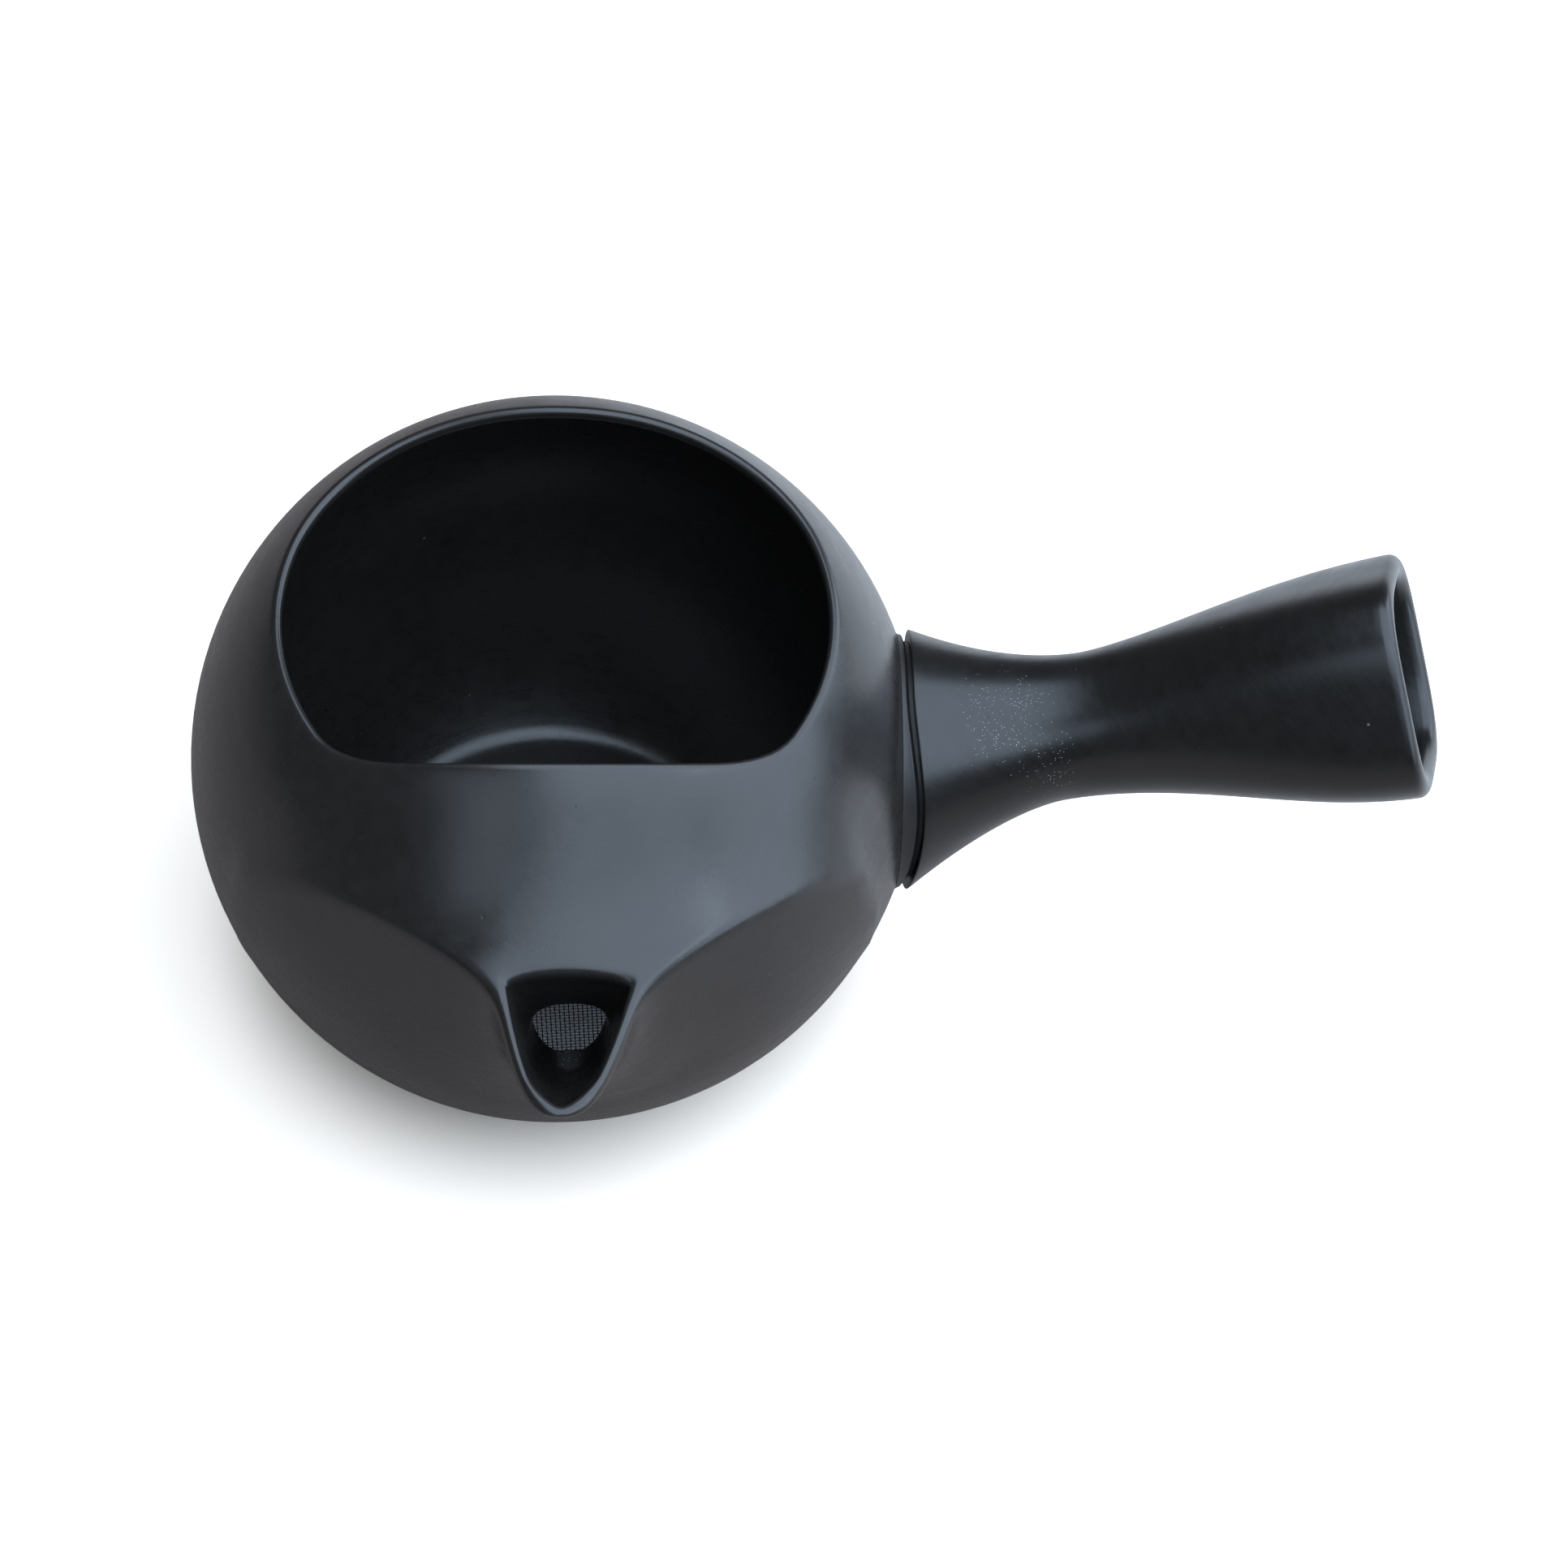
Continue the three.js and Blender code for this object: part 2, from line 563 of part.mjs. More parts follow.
// The strainer's net: wires both ways with square gaps between them, in a solid edge.
function strainerNet() {
  const gap = NET_PITCH - NET_WIRE;
  const reach = Math.ceil(NET_RADIUS / NET_PITCH);
  const gaps = [];
  for (let i = -reach; i <= reach; i++) {
    for (let j = -reach; j <= reach; j++) {
      const [x, z] = [i * NET_PITCH, j * NET_PITCH];
      if (Math.hypot(x, z) + gap * Math.SQRT1_2 > NET_RADIUS - NET_WIRE) continue;
      gaps.push(bare(new THREE.BoxGeometry(gap, 2 * NET_WIRE, gap).translate(x, 0, z)));
    }
  }
  const disc = new THREE.CylinderGeometry(NET_RADIUS, NET_RADIUS, NET_WIRE, STRAINER_SIDES);
  return solid(bare(disc)).subtract(solid(mergeGeometries(gaps)));
}

// A piece of the strainer, turned to face the middle of its hole and set against the wall.
function againstWall(piece) {
  const outside = NET_RADIUS + STRAINER_RIM_WIDTH;
  const [x, z] = [SPOUT_ROOT_SIDE, HOLE_CENTRE_HEIGHT];
  const toWall = new THREE.Vector3(x, -Math.sqrt(INNER_RADIUS ** 2 - x * x - z * z), z).normalize();
  const back = Math.sqrt((INNER_RADIUS - CLEARANCE) ** 2 - outside ** 2);
  piece.quaternion.setFromUnitVectors(new THREE.Vector3(0, -1, 0), toWall);
  piece.position.copy(toWall).multiplyScalar(back - STRAINER_RIM_THICKNESS / 2);
  return piece;
}

const kyusu = new THREE.Group();
kyusu.add(
  part("pot_body", ballShell().subtract(spoutChannel()), CLAY),
  part("handle", handleShell(), CLAY),
  part("luting_ring", lutingRing(), CLAY),
  againstWall(part("strainer_rim", strainerRim(), STEEL)),
  againstWall(part("strainer_mesh", strainerNet(), STEEL)),
);
kyusu.position.z = FOOT_TO_BALL_CENTRE;

export default kyusu;
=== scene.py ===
"""A lidless side-handle teapot of black clay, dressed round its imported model.

Sizes in the classes are in millimetres and the frame is in metres, with +Z up and the
origin under the middle of the foot. The spout points along -Y and the handle along +X.
"""

import logging
import math
from dataclasses import dataclass, field, replace
from enum import Enum

import bmesh
import bpy
import numpy as np
from mathutils import Matrix, Vector


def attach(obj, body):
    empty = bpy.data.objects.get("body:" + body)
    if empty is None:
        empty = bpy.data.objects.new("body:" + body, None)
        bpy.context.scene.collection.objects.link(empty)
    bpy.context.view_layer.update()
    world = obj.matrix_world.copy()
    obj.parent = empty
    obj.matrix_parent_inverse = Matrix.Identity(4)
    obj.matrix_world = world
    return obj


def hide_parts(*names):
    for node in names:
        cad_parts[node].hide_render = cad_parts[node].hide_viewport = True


MM = 0.001
Pair = tuple[float, float]
Triple = tuple[float, float, float]
Socket = bpy.types.NodeSocket
log = logging.getLogger("kyusu")

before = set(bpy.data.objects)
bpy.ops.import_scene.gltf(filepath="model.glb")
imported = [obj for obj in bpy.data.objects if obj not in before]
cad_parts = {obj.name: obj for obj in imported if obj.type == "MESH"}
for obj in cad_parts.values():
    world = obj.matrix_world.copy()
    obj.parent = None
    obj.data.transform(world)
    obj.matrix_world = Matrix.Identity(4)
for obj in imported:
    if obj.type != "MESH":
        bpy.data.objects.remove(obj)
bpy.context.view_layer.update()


class Node(Enum):
    """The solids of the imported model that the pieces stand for."""

    POT_BODY = "pot_body"
    HANDLE = "handle"
    LUTING_RING = "luting_ring"
    STRAINER_RIM = "strainer_rim"
    STRAINER_MESH = "strainer_mesh"


class Slot(Enum):
    """The record's material slots."""

    CLAY = "clay"
    SLIP = "slip"
    STEEL = "steel"


class BeadLevel(Enum):
    """The three levels of the bead of slip under the handle."""

    BALL = "on the ball"
    COLLAR = "what squeezed out"
    NECK = "under the handle's wall"


class WireRun(Enum):
    """The two ways in which the strainer's wires run, as turns about the net's middle."""

    WARP = 0.0
    WEFT = 90.0


# Small helpers


def smooth_min(a: np.ndarray, b: np.ndarray, blend: float) -> np.ndarray:
    """The lesser of two distances, rounded over the width of the blend where they meet."""
    h = np.maximum(blend - np.abs(a - b), 0) / blend
    return np.minimum(a, b) - h * h * blend / 4


def smooth_max(a: np.ndarray, b: np.ndarray, blend: float) -> np.ndarray:
    """The greater of two distances, rounded over the width of the blend where they meet."""
    return -smooth_min(-np.asarray(a), -np.asarray(b), blend)


def smooth_step(x: np.ndarray, low: float, high: float) -> np.ndarray:
    """0 below low, 1 above high, and an S-curve between."""
    t = np.clip((np.asarray(x, float) - low) / (np.asarray(high, float) - low), 0, 1)
    return t * t * (3 - 2 * t)


def points(x: np.ndarray, y: np.ndarray, z: np.ndarray) -> np.ndarray:
    """Points in rows from their coordinates, with single numbers spread over the rest."""
    return np.stack(np.broadcast_arrays(x, y, z), -1).astype(float)


def turns_round(count: int) -> np.ndarray:
    """Angles evenly spaced round a full turn."""
    return np.arange(count) * math.tau / count


def steps_between(stops: tuple, counts: tuple[int, ...]) -> list[np.ndarray]:
    """Values evenly spaced from each stop to the next, without the last stop."""
    spans = zip(counts, stops, stops[1:])
    return [start + (end - start) * k / count for count, start, end in spans for k in range(count)]


def deselect_all() -> None:
    """Leaves object mode with nothing selected."""
    if bpy.context.object and bpy.context.object.mode != "OBJECT":
        bpy.ops.object.mode_set(mode="OBJECT")
    bpy.ops.object.select_all(action="DESELECT")


def make_active(piece: bpy.types.Object) -> None:
    """Selects one piece alone and makes it the active one."""
    deselect_all()
    piece.select_set(True)
    bpy.context.view_layer.objects.active = piece


class RingDrawing:
    """A mesh drawn ring by ring: a circle is extruded in edit mode, and each new ring is
    set to its shape. Every vertex remembers its place round the ring and its row."""

    LABELS = ("place", "row")
    SAME_PLACE = 1e-7

    def __init__(self, name: str, rings: list[np.ndarray], lift: float = 0) -> None:
        """Draws the piece's first rings.

        Args:
            name: The piece's name.
            rings: The points of each ring, in millimetres.
            lift: How far every ring of the drawing is moved up.
        """
        self.lift = np.array([0, 0, lift])
        self.rows = 0
        deselect_all()
        first = rings[0] + self.lift
        centre = first.mean(0)
        radius = float(np.linalg.norm(first - centre, axis=1).mean())
        bpy.ops.mesh.primitive_circle_add(
            vertices=len(first), radius=radius * MM, fill_type="NOTHING", location=centre * MM
        )
        self.piece = bpy.context.object
        self.piece.name = self.piece.data.name = name
        bpy.ops.object.transform_apply(location=True, rotation=True, scale=True)
        for label in self.LABELS:
            self.piece.data.attributes.new(label, "INT", "POINT")
        places = np.arange(len(first), dtype=np.int32)
        self.piece.data.attributes["place"].data.foreach_set("value", places)
        bpy.ops.object.mode_set(mode="EDIT")
        bpy.ops.mesh.select_mode(type="EDGE")
        bpy.ops.mesh.select_all(action="SELECT")
        self._set_ring(rings[0])
        for ring in rings[1:]:
            self.extrude(ring)

    def layers(self) -> tuple[bmesh.types.BMesh, object, object]:
        """The mesh in edit mode, with its layers of places and of rows."""
        mesh = bmesh.from_edit_mesh(self.piece.data)
        return mesh, *(mesh.verts.layers.int[label] for label in self.LABELS)

    def _set_ring(self, ring: np.ndarray) -> None:
        """Moves the selected vertices to the points of a ring.

        Args:
            ring: One point for each place round the ring, in millimetres.
        """
        mesh, place, row = self.layers()
        spots = (ring + self.lift) * MM
        for vert in mesh.verts:
            if vert.select:
                vert.co = Vector(spots[vert[place]])
                vert[row] = self.rows
        bmesh.update_edit_mesh(self.piece.data)
        self.rows += 1

    def extrude(self, ring: np.ndarray) -> None:
        """Extrudes the last ring to the points of a new one."""
        bpy.ops.mesh.extrude_region_move(TRANSFORM_OT_translate={"value": (0, 0, 0)})
        self._set_ring(ring)

    def select_none(self, mode: str) -> None:
        """Deselects everything, in the mode for vertices, edges or faces."""
        bpy.ops.mesh.select_mode(type=mode)
        bpy.ops.mesh.select_all(action="DESELECT")

    def select_rows(self, *rows: int) -> None:
        """Selects the vertices of some rows alone, with the edges between them."""
        self.select_none("VERT")
        mesh, _, row = self.layers()
        for vert in mesh.verts:
            vert.select_set(vert[row] in rows)
        mesh.select_flush_mode()
        bmesh.update_edit_mesh(self.piece.data)
        bpy.ops.mesh.select_mode(type="EDGE")

    def close_on_axis(self, row: int, height: float) -> None:
        """Closes a row with a fan of faces to a point on the frame's Z axis.

        Args:
            row: The row to close.
            height: The point's height, in millimetres.
        """
        self.select_rows(row)
        bpy.ops.mesh.extrude_region_move(TRANSFORM_OT_translate={"value": (0, 0, 0)})
        for vert in bmesh.from_edit_mesh(self.piece.data).verts:
            if vert.select:
                vert.co = Vector((0, 0, height * MM))
        bmesh.update_edit_mesh(self.piece.data)
        bpy.ops.mesh.select_mode(type="VERT")
        bpy.ops.mesh.merge(type="CENTER")
        bpy.ops.mesh.select_mode(type="EDGE")

    def close_on_itself(self) -> None:
        """Joins the last row to the first, for a piece like a ring."""
        self.select_rows(0, self.rows - 1)
        bpy.ops.mesh.bridge_edge_loops()

    def close_flat(self) -> None:
        """Closes each open end with one face."""
        bpy.ops.mesh.select_all(action="SELECT")
        bpy.ops.mesh.fill_holes(sides=0)

    def finish(self, smooth_angle: float = 50) -> bpy.types.Object:
        """Leaves edit mode with every face pointing out.

        Args:
            smooth_angle: The angle in degrees up to which edges are shaded smooth.

        Returns:
            The finished piece.
        """
        bpy.ops.mesh.select_all(action="SELECT")
        bpy.ops.mesh.remove_doubles(threshold=self.SAME_PLACE)
        mesh = bmesh.from_edit_mesh(self.piece.data)
        if mesh.calc_volume(signed=True) < 0:
            bpy.ops.mesh.flip_normals()
        bpy.ops.object.mode_set(mode="OBJECT")
        for label in self.LABELS:
            self.piece.data.attributes.remove(self.piece.data.attributes[label])
        bpy.ops.object.shade_smooth_by_angle(angle=math.radians(smooth_angle))
        return self.piece


# Finishes


@dataclass(frozen=True)
class Noise:
    """A noise: its scale, its finer layers and how strong they are, and how far it stands
    up on the face, in millimetres."""

    scale: float
    detail: float
    rough: float
    height: float = 0.0


@dataclass(frozen=True)
class Specks:
    """Round specks in chosen cells of a cell pattern: the cells in a metre, and the share
    of a cell at which a speck starts to fade and at which it is gone."""

    scale: float
    edge: Pair
    channel: int = 0


class NodeTree:
    """A material's node tree, with short ways to add nodes and to join them."""

    def __init__(self, name: str) -> None:
        """Makes an empty material with an output.

        Args:
            name: The material's name.
        """
        self.material = bpy.data.materials.new(name)
        self.material.use_nodes = True
        self.tree = self.material.node_tree
        self.tree.nodes.clear()
        self.output = self.tree.nodes.new("ShaderNodeOutputMaterial")
        self.place = self.tree.nodes.new("ShaderNodeTexCoord").outputs["Object"]

    def link(self, source: object, target: Socket) -> None:
        """Joins a socket, or sets a plain value, to another socket.

        Args:
            source: An output socket or a value.
            target: The input socket.
        """
        if isinstance(source, Socket):
            self.tree.links.new(source, target)
        else:
            target.default_value = source

    def add(self, kind: str, settings: dict | None = None, **inputs: object) -> bpy.types.Node:
        """Adds a node.

        Args:
            kind: The node's type, without its ShaderNode prefix.
            settings: The node's own properties.
            **inputs: What goes into its inputs, by name with _ for a space.

        Returns:
            The node.
        """
        node = self.tree.nodes.new("ShaderNode" + kind)
        for key, value in (settings or {}).items():
            setattr(node, key, value)
        for key, value in inputs.items():
            self.link(value, node.inputs[key.replace("_", " ")])
        return node

    def math(self, operation: str, *values: object, clamp: bool = False) -> Socket:
        """A Math node's result.

        Args:
            operation: The node's operation.
            *values: Its two or three values or sockets.
            clamp: Whether the result is kept between 0 and 1.

        Returns:
            The node's output.
        """
        node = self.tree.nodes.new("ShaderNodeMath")
        node.operation = operation
        node.use_clamp = clamp
        for value, target in zip(values, node.inputs):
            self.link(value, target)
        return node.outputs[0]

    def turned(self, at: object, turn: Triple) -> Socket:
        """Coordinates turned about the origin, by degrees about each axis."""
        angles = [math.radians(angle) for angle in turn]
        return self.add("Mapping", {"vector_type": "POINT"}, Vector=at, Rotation=angles).outputs[0]

    def distance(self, middle: Triple) -> Socket:
        """Distances from a point of the object, in metres.

        Args:
            middle: The point, in metres.

        Returns:
            The distances.
        """
        away = self.add("VectorMath", {"operation": "DISTANCE"}, Vector=self.place)
        away.inputs[1].default_value = middle
        return away.outputs["Value"]

    def noise(self, at: object, kind: Noise) -> Socket:
        """Noise from 0 to 1 at some coordinates."""
        inputs = {"Scale": kind.scale, "Detail": kind.detail, "Roughness": kind.rough}
        return self.add("TexNoise", {"noise_dimensions": "3D"}, Vector=at, **inputs).outputs["Fac"]

    def specks(self, kind: Specks, choice: str, limit: object) -> Socket:
        """Specks on the object, 1 on a speck and 0 beside it.

        Args:
            kind: Their pattern.
            choice: The comparison that chooses the cells with a speck.
            limit: What each cell's own number from 0 to 1 is compared with.

        Returns:
            The specks' output.
        """
        cells = self.add("TexVoronoi", {"feature": "F1"}, Vector=self.place, Scale=kind.scale).outputs
        own = self.add("SeparateColor", Color=cells["Color"]).outputs[kind.channel]
        shape = self.ranged(cells["Distance"], *kind.edge, 1, 0)
        return self.math("MULTIPLY", shape, self.math(choice, own, limit))

    def ranged(self, value: object, low: float, high: float, a: float, b: float) -> Socket:
        """A value's range carried over to another, held at both ends.

        Args:
            value: The value.
            low: The value that becomes a.
            high: The value that becomes b.
            a: The result at low.
            b: The result at high.

        Returns:
            The node's output.
        """
        node = self.tree.nodes.new("ShaderNodeMapRange")
        node.interpolation_type = "SMOOTHSTEP"
        for target, source in zip(node.inputs, (value, low, high, a, b)):
            self.link(source, target)
        return node.outputs[0]

    def mixed(self, share: object, a: object, b: object) -> Socket:
        """Two colours mixed.

        Args:
            share: How much of the second there is.
            a: The first colour.
            b: The second colour.

        Returns:
            The mixed colour's output.
        """
        node = self.tree.nodes.new("ShaderNodeMix")
        node.data_type = "RGBA"
        self.link(share, node.inputs[0])
        for source, target in zip((a, b), (node.inputs[6], node.inputs[7])):
            self.link((*source, 1) if isinstance(source, tuple) else source, target)
        return node.outputs[2]


@dataclass(frozen=True)
class DustPatch:
    """White specks that cling to one place of the clay, and how much duller they make it."""

    middle: Triple
    reach: float
    amount: float
    dulling: float = 0.0


@dataclass(frozen=True)
class ClayFinish:
    """Unglazed black clay, rubbed to a satin face while it was leather-hard.

    The rubbing runs round an axis: the pot's own, or the handle's.
    """

    name: str
    dark: Triple = (0.0135, 0.0118, 0.0108)
    light: Triple = (0.0205, 0.0178, 0.0162)
    tone_range: Pair = (0.3, 0.7)
    roughness: float = 0.29
    ior: float = 1.6
    axis_tilt: float = 0.0
    axis_swing: float = 0.0
    axis_gap: float = 2.0
    strokes: Noise = Noise(3.2, 4, 0.62, 0.012)
    stroke_stretch: float = 260.0
    stroke_slant: float = 0.8
    stroke_roughness: float = 0.16
    waves: Noise = Noise(46, 2, 0.45, 0.1)
    mottle: Noise = Noise(420, 4, 0.6, 0.016)
    mottle_share: float = 0.45
    mottle_roughness: float = 0.12
    grain: Noise = Noise(3400, 3, 0.65, 0.006)
    pits: Specks = Specks(330, (0.05, 0.085))
    pits_over: float = 0.8
    pit_depth: float = 0.03
    flecks: Specks = Specks(215, (0.03, 0.05), channel=1)
    flecks_over: float = 0.86
    fleck_strength: float = 0.5
    fleck_colour: Triple = (0.25, 0.25, 0.265)
    dust: tuple[DustPatch, ...] = ()
    dust_core: float = 0.25
    dust_specks: Specks = Specks(3600, (0.1, 0.22))
    dust_clumps: Noise = Noise(240, 3, 0.6)
    dust_clump_range: Pair = (0.35, 0.65)
    dust_between: float = 0.2
    dust_roughness: float = 0.4
    dust_colour: Triple = (0.55, 0.56, 0.59)

    def _strokes(self, t: NodeTree) -> Socket:
        """The marks of rubbing, which run round the axis and are fine across it.

        Args:
            t: The material's node tree.

        Returns:
            The strokes' output.
        """
        own = t.turned(t.turned(t.place, (0, 0, self.axis_swing)), (0, -self.axis_tilt, 0))
        x, y, z = t.add("SeparateXYZ", Vector=own).outputs
        out = t.math("SQRT", t.math("ADD", t.math("MULTIPLY", x, x), t.math("MULTIPLY", y, y)))
        level = t.math("MULTIPLY_ADD", out, self.stroke_slant, z)
        away = t.math("MAXIMUM", out, self.axis_gap * MM)
        across, along = (t.math("DIVIDE", v, away) for v in (x, y))
        row = t.math("MULTIPLY", level, self.stroke_stretch)
        return t.noise(t.add("CombineXYZ", X=across, Y=along, Z=row).outputs[0], self.strokes)

    def make(self) -> bpy.types.Material:
        """Builds the material.

        Returns:
            The clay's material.
        """
        t = NodeTree(self.name)
        strokes = self._strokes(t)
        waves, mottle, grain = (t.noise(t.place, n) for n in (self.waves, self.mottle, self.grain))
        pits = t.specks(self.pits, "GREATER_THAN", self.pits_over)
        flecks = t.specks(self.flecks, "GREATER_THAN", self.flecks_over)
        broad = t.math("MULTIPLY", waves, 1 - self.mottle_share)
        both = t.math("MULTIPLY_ADD", mottle, self.mottle_share, broad)
        colour = t.mixed(t.ranged(both, *self.tone_range, 0, 1), self.dark, self.light)
        colour = t.mixed(t.math("MULTIPLY", flecks, self.fleck_strength), colour, self.fleck_colour)
        rough = self.roughness
        for noise, swing in ((strokes, self.stroke_roughness), (mottle, self.mottle_roughness)):
            rough = t.math("MULTIPLY_ADD", t.math("SUBTRACT", noise, 0.5), swing, rough)
        if self.dust:
            dust, dull = self._dust(t)
            colour = t.mixed(dust, colour, self.dust_colour)
            rough = t.math("ADD", rough, dull)
            rough = t.math("MULTIPLY_ADD", dust, self.dust_roughness, rough, clamp=True)
        height = t.math("MULTIPLY", waves, self.waves.height)
        height = t.math("MULTIPLY_ADD", strokes, self.strokes.height, height)
        height = t.math("MULTIPLY_ADD", mottle, self.mottle.height, height)
        height = t.math("MULTIPLY_ADD", grain, self.grain.height, height)
        height = t.math("MULTIPLY_ADD", pits, -self.pit_depth, height)
        bump = t.add("Bump", Strength=1.0, Distance=MM, Height=height).outputs[0]
        shader = t.add("BsdfPrincipled", Base_Color=colour, Roughness=rough, Normal=bump)
        shader.inputs["IOR"].default_value = self.ior
        t.link(shader.outputs[0], t.output.inputs["Surface"])
        return t.material

    def _dust(self, t: NodeTree) -> tuple[Socket, Socket]:
        """The share of dust over the clay, and how much duller the clay is under it.

        Args:
            t: The material's node tree.

        Returns:
            The two outputs.
        """
        total = dull = 0.0
        for patch in self.dust:
            away = t.distance(tuple(v * MM for v in patch.middle))
            near = t.ranged(away, patch.reach * self.dust_core * MM, patch.reach * MM, 1, 0)
            clumps = t.noise(t.place, self.dust_clumps)
            thick = t.ranged(clumps, *self.dust_clump_range, self.dust_between, 1)
            limit = t.math("MULTIPLY", t.math("MULTIPLY", near, thick), patch.amount)
            total = t.math("MAXIMUM", total, t.specks(self.dust_specks, "LESS_THAN", limit))
            dull = t.math("MAXIMUM", dull, t.math("MULTIPLY", near, patch.dulling))
        return total, dull


@dataclass(frozen=True)
class SteelFinish:
    """Drawn stainless wire and strip. Its colour is darkened far below that of bright steel, as
    painted shade for the dark inside of the spout.
    """

    name: str
    # Painted shade: this colour is far darker than bright steel, standing in for the shade inside the
    # spout.
    colour: Triple = (0.085, 0.072, 0.065)
    shade: float = 0.62
    shade_range: Pair = (0.35, 0.65)
    roughness: float = 0.3
    roughness_swing: float = 0.24
    bump: float = 0.4
    drawn: Noise = Noise(2600, 3, 0.6, 0.02)
    patches: Noise = Noise(260, 2, 0.5)

    def make(self) -> bpy.types.Material:
        """Builds the material.

        Returns:
            The steel's material.
        """
        t = NodeTree(self.name)
        fine, broad = (t.noise(t.place, n) for n in (self.drawn, self.patches))
        dark = tuple(v * self.shade for v in self.colour)
        colour = t.mixed(t.ranged(broad, *self.shade_range, 0, 1), dark, self.colour)
        least = self.roughness - self.roughness_swing / 2
        rough = t.math("MULTIPLY_ADD", fine, self.roughness_swing, least)
        relief = self.drawn.height * MM
        bump = t.add("Bump", Strength=self.bump, Distance=relief, Height=fine).outputs[0]
        shader = t.add("BsdfPrincipled", Base_Color=colour, Roughness=rough, Normal=bump)
        shader.inputs["Metallic"].default_value = 1.0
        t.link(shader.outputs[0], t.output.inputs["Surface"])
        return t.material


# The pieces


@dataclass
class Ball:
    """The thrown ball that carries everything, worked out from its own centre."""

    radius: float = 49.0
    wall: float = 3.5
    rim_wall: float = 2.0
    rim_thinning: float = 24.0
    foot_radius: float = 28.3
    foot_round: float = 1.2
    foot_round_run: float = 0.6
    foot_round_rise: float = 0.25
    floor_thickness: float = 4.6
    floor_fillet: float = 5.0
    rim_front: float = 53.2
    rim_shoulder: float = 41.0
    rim_back: float = 52.5
    rim_corner: float = 6.0
    rim_shoulder_azimuth: float = 68.0
    rim_back_azimuth: float = 108.0

    @property
    def lift(self) -> float:
        """The height of the ball's centre over the foot."""
        return math.sqrt(self.radius**2 - self.foot_radius**2)

    @property
    def inner_radius(self) -> float:
        """The radius of the hollow."""
        return self.radius - self.wall

    def at(self, radius: np.ndarray, azimuth: np.ndarray, latitude: np.ndarray) -> np.ndarray:
        """Points round the ball's centre, from a radius and two angles in degrees.

        Args:
            radius: Distances from the centre.
            azimuth: Angles round the pot, 0 at the spout and 90 at the handle.
            latitude: Angles over the ball's middle.

        Returns:
            The points.
        """
        turn, rise = np.radians(azimuth), np.radians(latitude)
        out = radius * np.cos(rise)
        return points(out * np.sin(turn), -out * np.cos(turn), radius * np.sin(rise))

    def level(self, radius: float, azimuth: np.ndarray, height: float) -> np.ndarray:
        """Points on a level circle, at a height over the ball's centre."""
        return self.at(radius, azimuth, 0) + np.array([0, 0, height])

    def rim_latitude(self, azimuth: np.ndarray) -> np.ndarray:
        """The latitude of the mouth's rim: straight across the front, low at the
        shoulders, and up again at the back.

        Args:
            azimuth: Angles round the pot, in degrees.

        Returns:
            The latitudes, in degrees.
        """
        a = np.abs((azimuth + 180) % 360 - 180)
        slope = math.tan(math.radians(self.rim_front)) * np.cos(np.radians(a))
        front = np.maximum(np.degrees(np.arctan(slope)), 0)
        low = smooth_max(front, self.rim_shoulder + 0 * a, self.rim_corner)
        shoulder = np.where(a < self.rim_shoulder_azimuth, low, np.maximum(low, self.rim_shoulder))
        rise = smooth_step(a, self.rim_back_azimuth, 180)
        return shoulder + (self.rim_back - self.rim_shoulder) * rise

    def inside(self, azimuth: np.ndarray, latitude: np.ndarray) -> np.ndarray:
        """Points on the inner wall, which thins towards the rim.

        Args:
            azimuth: Angles round the pot, in degrees.
            latitude: Angles over the ball's middle, in degrees.

        Returns:
            The points.
        """
        below = self.rim_latitude(azimuth) - latitude
        thick = self.rim_wall + (self.wall - self.rim_wall) * smooth_step(below, 0, self.rim_thinning)
        return self.at(self.radius - thick, azimuth, latitude)


